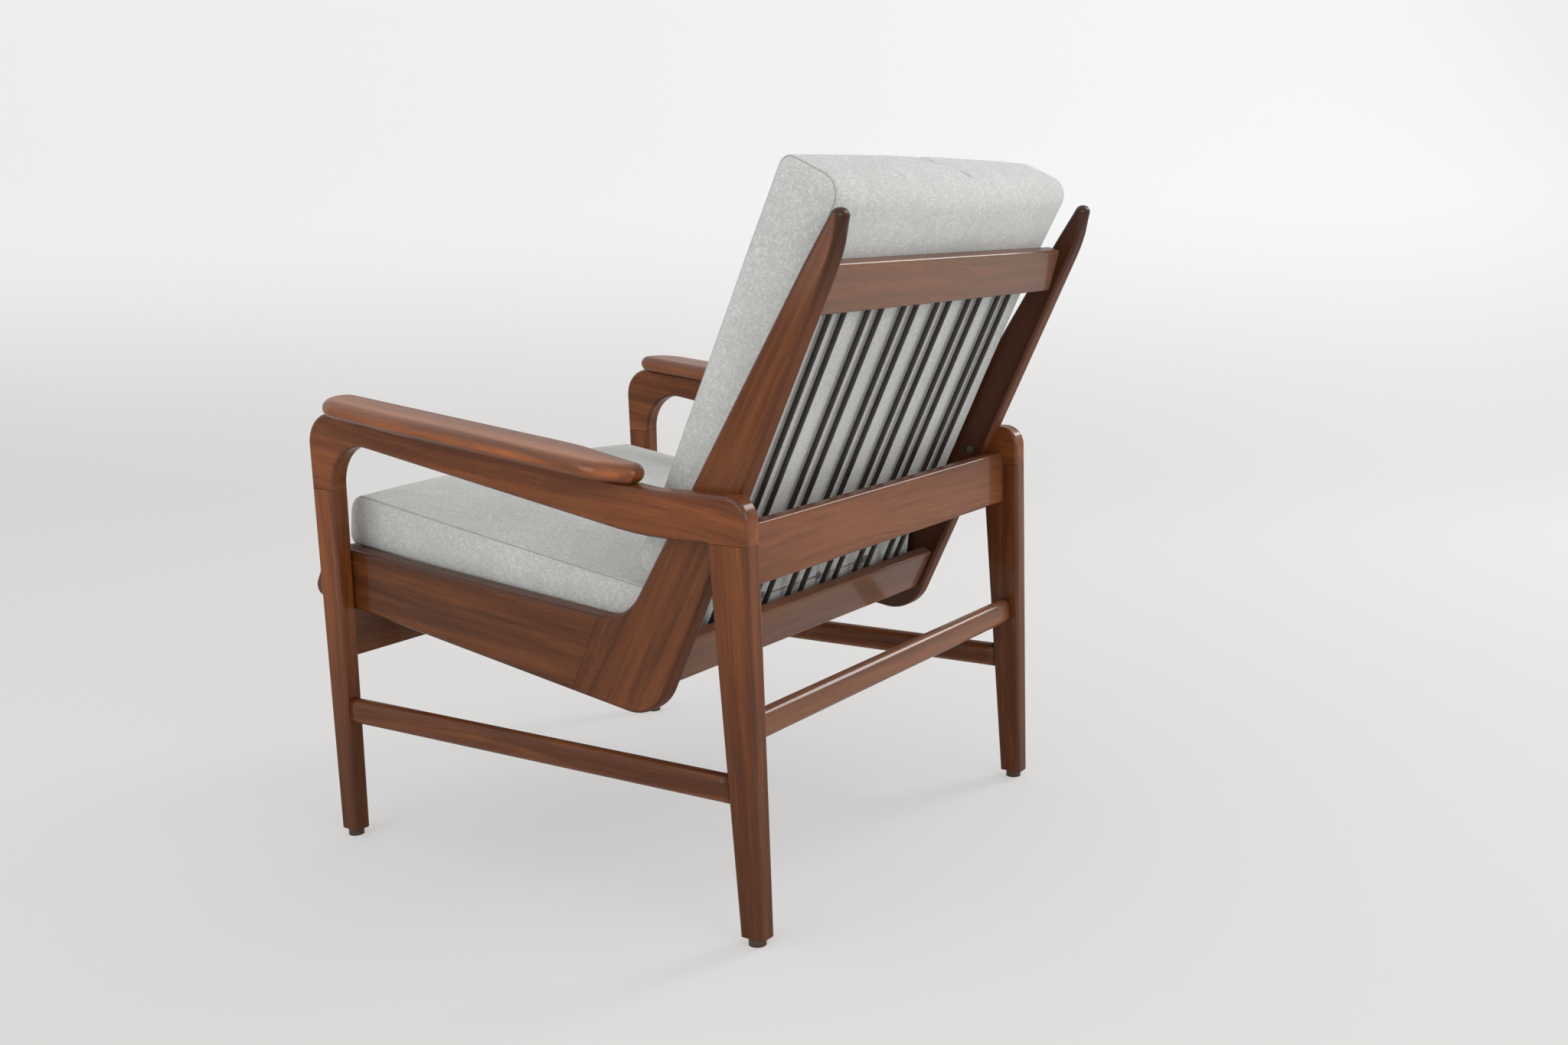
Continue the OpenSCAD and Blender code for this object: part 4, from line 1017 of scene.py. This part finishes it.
print("a cover fills at least", round(100 * LEAST_FULL), "% of its room")

# %% [markdown]
# Low soft dents, a few centimetres wide, keep the large faces from looking moulded, and one
# short crease runs across the top end of the back cushion. It is a dent too, and it is marked
# like a seam, because little light gets into it.

# %% Making a cushion
DENT_DEPTH = 0.0011


def soft_dents(points, seed):
    out = np.zeros(len(points))
    for i, p in enumerate(points):
        q = Vector(p) * 9.0 + Vector((seed, 0, 0))
        out[i] = noise.noise(q) * 0.7 + noise.noise(q * 2.3) * 0.3
    return out * DENT_DEPTH


def crease(points, a, b, wide):
    """1 along a short line from a to b, falling off to both sides and towards its ends."""
    points, a, b = points / MM, np.array(a), np.array(b)
    along = np.clip((points - a) @ (b - a) / ((b - a) @ (b - a)), 0, 1)
    away = np.linalg.norm(points - (a + along[:, None] * (b - a)), axis=1)
    return np.exp(-((away / wide) ** 2)) * np.sin(np.pi * np.clip(along, 0.08, 0.92))


def closed_cover(name, mesh, points, shaded):
    """The cover at its final points, closed down the middle of its side panels."""
    mesh.vertices.foreach_set("co", points.ravel())
    marks = mesh.attributes.new("seam", "FLOAT", "POINT")
    marks.data.foreach_set("value", shaded.astype(np.float32))
    bm = bmesh.new()
    bm.from_mesh(mesh)
    bmesh.ops.remove_doubles(bm, verts=bm.verts, dist=0.0001)
    bmesh.ops.recalc_face_normals(bm, faces=bm.faces)
    for face in bm.faces:
        face.smooth = True
    bm.to_mesh(mesh)
    bm.free()
    return added(name, mesh)


def make_cushion(name, body, size, radii, crown, matrix, mirrored, seed, bulge=None, creases=()):
    slack, seams = cushion_grid(size, radii, crown - 9.0, 1.5, 3.0)
    full, _ = cushion_grid(size, radii, crown, 5.0, 5.0)
    mesh = mesh_of(name, slack, mirrored)
    mesh.update()
    start = coordinates(mesh)
    normals = np.zeros(len(start) * 3)
    mesh.vertices.foreach_get("normal", normals)
    normals = normals.reshape(-1, 3)
    target = full.reshape(-1, 3) * MM * (np.array([1, -1, 1]) if mirrored else 1.0)
    seam = np.repeat(seams, slack.shape[1])
    room = ((target - start) * normals).sum(1)
    rise, slide = stuffed(name, mesh, start, normals, seam, room)
    hold = (1 - seam)[:, None]
    placed = start + normals * rise[:, None] * hold + slide * hold
    placed += normals * (soft_dents(start, seed) * (1 - seam))[:, None]
    shaded = seam
    for a, b, deep, wide in creases:
        placed -= normals * (crease(start, a, b, wide) * deep * MM)[:, None]
        shaded = np.maximum(shaded, crease(start, a, b, 0.9 * wide))
    placed[:, 0] = np.clip(placed[:, 0], -CUSHION_W / 2 * MM, CUSHION_W / 2 * MM)
    swell = over_rail(start, placed, *bulge) if bulge else 0.0
    placed[:, 2] += swell
    placed[:, 2] = np.maximum(placed[:, 2], swell)
    piece = closed_cover(name, mesh, placed, shaded)
    piece.matrix_world = matrix
    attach(piece, body)
    print(name, len(mesh.vertices), "points")
    return piece


# %% [markdown]
# The seat cushion lies on its springs and battens and slopes back by 9 degrees. The back
# cushion stands on its rear edge and leans on the back springs and the top rail; above the
# rail it bulges backwards by a few millimetres.

# %% Seat cushion and back cushion
def cushion_place(rear, turn_degrees):
    """Puts a cushion's lower rear corner at a point of the side view and turns it about x."""
    return (Matrix.Translation((0, (rear[0] + back_of_legs) * MM, rear[1] * MM))
            @ Matrix.Rotation(math.radians(turn_degrees), 4, "X"))


seat_place = cushion_place(seat_rear, -seat_slope)
seat_cushion = make_cushion("seat_cushion_fabric", "seat_cushion", (seat_len, seat_h), seat_radii, 25.0,
                            seat_place, True, 3.0)
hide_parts("seat_cushion_cover", "seat_cushion_foam")
seat_top_rear = seat_at(0, seat_h)
foot_clear, rest_clear, rail_bulge = 3.8, 0.3, 6.0
rail_turn = math.radians(back_lean - rail_lean)
back_foot_s = float((seat_top_rear - spring_face) @ spring_up) + foot_clear
back_foot = back_at(back_foot_s, top_rail_h * math.sin(rail_turn) + rest_clear)
back_place = cushion_place(back_foot, 90 - back_lean)
rail_top_at = -back_foot_s + top_rail_h * math.cos(rail_turn)
back_creases = [((24, 504, 78), (-26, 505, 38), 4.5, 6.5), ((-22, 505, 46), (-29, 502, 8), 3.5, 6.5)]
back_cushion = make_cushion("back_cushion_fabric", "back_cushion", (back_len, back_h), back_radii, 14.0,
                            back_place, False, 11.0, (rail_top_at + 2, 515.0, rail_bulge), back_creases)
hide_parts("back_cushion_cover", "back_cushion_foam")

# %% [markdown]
# The covers are a light grey chenille: short fuzzy yarns in two directions, lighter and
# darker where the pile lies differently. Three stretched noises, one along each axis of the
# cushion, give the weave on all its sides, so no picture or unwrapping is needed.

# %% Grey chenille
FLAT_PILE, RAISED_PILE = (0.548, 0.563, 0.550), (0.655, 0.670, 0.662)
BETWEEN_YARNS, YARN_TOPS, SEAM_SHADE = (0.38, 0.385, 0.375), (0.82, 0.835, 0.83), (0.20, 0.195, 0.185)


def chenille(name, seed):
    material, root = new_material(name)
    place = root.node("ShaderNodeMapping", {}, {"Vector": root.node("ShaderNodeTexCoord", out="Object"),
                                                "Location": (seed, seed * 0.7, seed * 1.3)})
    warp = grained(root, place, (150.0, 640.0, 640.0), 3.0, 0.6)
    weft = grained(root, place, (640.0, 150.0, 640.0), 3.0, 0.6)
    upright = grained(root, place, (640.0, 640.0, 150.0), 3.0, 0.6)
    yarn = warp * 0.34 + weft * 0.33 + upright * 0.33
    patches = grained(root, place, (9.0, 9.0, 9.0), 3.0, 0.5)
    brushed = grained(root, place, (70.0, 22.0, 22.0), 4.0, 0.6)
    tufts = grained(root, place, (130.0, 110.0, 130.0), 3.0, 0.6)
    pile = (patches * 0.4 + brushed * 0.35 + tufts * 0.25).step(0.34, 0.68)
    colour = blend_colour(FLAT_PILE, RAISED_PILE, pile)
    colour = blend_colour(colour, BETWEEN_YARNS, (1 - yarn.step(0.44, 0.56)) * 0.48)
    colour = blend_colour(colour, YARN_TOPS, yarn.step(0.53, 0.64) * 0.45)
    # Painted shade: the seams and the crease are darkened, as their grooves get little light.
    colour = blend_colour(colour, SEAM_SHADE, marked(root, "seam").step(0.2, 1.0) * 0.65)
    relief = bumped(root, yarn * 0.7 + brushed * 0.5, 0.75, 0.0014)
    finish_material(root, {"Base Color": colour, "Roughness": 0.86 + pile * 0.1, "Normal": relief,
                           "Sheen Weight": 0.22, "Sheen Roughness": 0.45, "Specular IOR Level": 0.2})
    return material


seat_cushion.data.materials.append(chenille("seat chenille", 2.0))
back_cushion.data.materials.append(chenille("back chenille", 7.0))
print("covers:", [m.name for m in bpy.data.materials if "chenille" in m.name])

# %% [markdown]
# A zip closes each cover at its hidden end. It is two woven tapes, a row of moulded teeth and
# a small slider, and it lies just in the fabric.

# %% Zips
zip_len, zip_y = 300.0, -3.9
weave, tooth_pitch, tooth_w, tape_w = 6.0, 2.0, 1.3, 3.6
zip_finish = small_finish("zip tape and teeth", (0.17, 0.168, 0.16), (0.25, 0.245, 0.235), 0.55, 0.0,
                          500, 0.0001)


def make_zip(name, body, height, matrix, mirrored, node):
    sign = -1 if mirrored else 1
    start, middle = -zip_len / 2, height / 2
    bm = bmesh.new()

    def block(x0, x1, y0, y1, z0, z1):
        low, high = Vector((x0, sign * y0, z0)), Vector((x1, sign * y1, z1))
        made_block = bmesh.ops.create_cube(bm, size=1.0)["verts"]
        bmesh.ops.scale(bm, vec=[abs(high[k] - low[k]) for k in range(3)], verts=made_block)
        bmesh.ops.translate(bm, vec=(low + high) / 2, verts=made_block)

    for z0 in (middle - 4.5, middle + 0.9):
        for i in range(round(zip_len / weave)):
            wave = 0.15 * math.sin(i * 0.9)
            x = start + i * weave
            block(x, x + weave, zip_y + wave, zip_y + 0.7 + wave, z0, z0 + tape_w)
    for i in range(round(zip_len / tooth_pitch)):
        z = middle + (0.35 if i % 2 else -0.35)
        x = start + 1 + i * tooth_pitch
        block(x, x + tooth_w, zip_y - 0.7, zip_y + 0.7, z - 1.1, z + 1.1)
    block(start + 6, start + 14, zip_y - 1.6, zip_y + 0.8, middle - 2.4, middle + 2.4)
    block(start + 14, start + 32, zip_y - 1.5, zip_y - 0.9, middle - 1.6, middle + 1.6)
    bmesh.ops.bevel(bm, geom=bm.edges[:], offset=0.15, segments=1, affect="EDGES")
    bmesh.ops.scale(bm, vec=(MM, MM, MM), verts=bm.verts)
    mesh = bpy.data.meshes.new(name)
    bm.to_mesh(mesh)
    bm.free()
    piece = added(name, mesh)
    piece.matrix_world = matrix
    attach(piece, body)
    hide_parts(node)
    piece.data.materials.append(zip_finish)


make_zip("seat_zip", "seat_cushion", seat_h, seat_place, True, "seat_cushion_zip")
make_zip("back_zip", "back_cushion", back_h, back_place, False, "back_cushion_zip")
print("zips:", round(zip_len / tooth_pitch), "teeth each")

# %% [markdown]
# A plain studio: a pale floor that curves up into a pale backdrop, a soft lamp to the right
# rear, a wide one behind the chair and a wide fill on the left. The floor has two surfaces.
# The one that light falls on gives the chair its light from below, and the one that only the
# camera sees is toned to a room whose wall is lighter than its floor.

# %% Floor and backdrop
FLOOR_PAINT = (0.70, 0.697, 0.692)
FLOOR_GLOW, WALL_GLOW = (0.43, 0.423, 0.417), (0.60, 0.605, 0.615)
GLOW_TOP = 0.9


def studio_paint(name, colour):
    material, root = new_material(name)
    place = root.node("ShaderNodeTexCoord", out="Object")
    cloudy = grained(root, place, (0.8, 0.8, 0.8), 3.0)
    tint = blend_colour(colour, darker(colour, 0.985), cloudy)
    thinned = root.node("ShaderNodeVectorMath", {"operation": "MULTIPLY"}, {0: tint, 1: (0.45, 0.45, 0.45)})
    glow = blend_colour(FLOOR_GLOW, WALL_GLOW, own_place(root, 2).step(0.0, GLOW_TOP))
    rough = 0.75 + cloudy * 0.1
    finish_material(root, {"Base Color": tint, "Roughness": rough, "Specular IOR Level": 0.3},
                    {"Base Color": thinned, "Roughness": rough, "Specular IOR Level": 0.1,
                     "Emission Color": glow, "Emission Strength": 1.0})
    return material


def floor_and_backdrop(run, start, height, bend, reach=9.0):
    """A sheet: level floor, a bend and an upright backdrop, run across the view."""
    mesh = bpy.data.meshes.new("studio_floor")
    bm = bmesh.new()
    along = Vector(run).normalized()
    away = Vector((-along.y, along.x, 0))
    profile = [(-reach, 0.0), (0.0, 0.0)]
    profile += [(bend * math.sin(a), bend * (1 - math.cos(a))) for a in np.radians(np.linspace(6, 90, 15))]
    profile += [(bend, height)]
    rows = []
    for end in (-reach, reach):
        rows.append([bm.verts.new(Vector(start) + along * end + away * d + Vector((0, 0, h)))
                     for d, h in profile])
    for i in range(len(profile) - 1):
        bm.faces.new((rows[0][i], rows[1][i], rows[1][i + 1], rows[0][i + 1])).smooth = True
    bmesh.ops.recalc_face_normals(bm, faces=bm.faces)
    bm.to_mesh(mesh)
    bm.free()
    return added("studio_floor", mesh)


floor = floor_and_backdrop((-0.42, 0.91, 0), (-2.0, -1.6, 0.0), 5.0, 1.2)
floor.data.materials.append(studio_paint("pale studio paint", FLOOR_PAINT))
print("floor and backdrop:", len(floor.data.polygons), "faces")

# %% [markdown]
# Window light is wide and soft, so the lamps are large areas. The world is pale for the
# camera and for reflections, which show in the lacquer, and a little weaker as light.

# %% Lamps and world
def soft_lamp(name, place, aim, size, watts, colour):
    lamp = bpy.data.lights.new(name, "AREA")
    lamp.shape = "RECTANGLE"
    lamp.size, lamp.size_y = size
    lamp.energy = watts
    lamp.color = colour
    holder = added(name, lamp)
    holder.location = place
    holder.rotation_euler = (Vector(aim) - Vector(place)).to_track_quat("-Z", "Y").to_euler()


soft_lamp("right window", (-3.1, 1.5, 2.2), (0, 0, 0.4), (1.2, 1.2), 50, (1.0, 0.995, 0.985))
soft_lamp("rear window", (0.9, 3.6, 1.4), (0, 0, 0.45), (2.6, 1.8), 32, (1.0, 0.995, 0.98))
soft_lamp("left fill", (3.6, -0.6, 1.6), (0, 0, 0.4), (2.8, 2.2), 31, (1.0, 0.99, 0.97))
world = bpy.data.worlds.new("pale room")
bpy.context.scene.world = world
world.use_nodes = True
world.node_tree.nodes.clear()
root = Sock(world.node_tree)
shown_to = ("Is Camera Ray", "Is Glossy Ray", "Is Transmission Ray")
camera_ray, glossy_ray, through_ray = (root.node("ShaderNodeLightPath", out=ray) for ray in shown_to)
lit = root.node("ShaderNodeBackground", {}, {"Color": (1.0, 0.995, 0.985, 1), "Strength": 0.76})
shown = root.node("ShaderNodeBackground", {}, {"Color": (0.88, 0.885, 0.89, 1), "Strength": 1.0})
seen = (camera_ray + glossy_ray + through_ray).kept()
sky = root.node("ShaderNodeMixShader", {}, {0: seen, 1: lit, 2: shown})
sky_out = world.node_tree.nodes.new("ShaderNodeOutputWorld")
world.node_tree.links.new(sky.socket, sky_out.inputs["Surface"])
bpy.context.scene.view_settings.view_transform = "Standard"
print("lamps:", [light.name for light in bpy.data.lights])

# %% [markdown]
# The camera stands behind the chair's left side, a little above the arms, and looks down.
# Its place and lens were worked out from the corners of legs and rails, whose sizes are known.

# %% Camera
lens_px, picture_width = 2050.064, 2048.0
sensor_width = 36.0
yaw, pitch, roll = -2.53381677, -0.180075312, -0.0339274302
look = Vector((math.cos(pitch) * math.cos(yaw), math.cos(pitch) * math.sin(yaw), math.sin(pitch)))
level = look.cross(Vector((0, 0, 1))).normalized()
over = level.cross(look)
right = math.cos(roll) * level + math.sin(roll) * over
up = math.cos(roll) * over - math.sin(roll) * level
camera_data = bpy.data.cameras.new("camera")
camera_data.sensor_fit = "HORIZONTAL"
camera_data.sensor_width = sensor_width
camera_data.lens = sensor_width * lens_px / picture_width
camera = added("camera", camera_data)
stands = Vector((1.60741, 0.93974 + back_of_legs * MM, 0.76043))
camera.matrix_world = Matrix.Translation(stands) @ Matrix((right, up, -look)).transposed().to_4x4()
bpy.context.scene.camera = camera
print("camera lens", round(camera_data.lens, 2), "mm at", [round(c, 3) for c in stands])
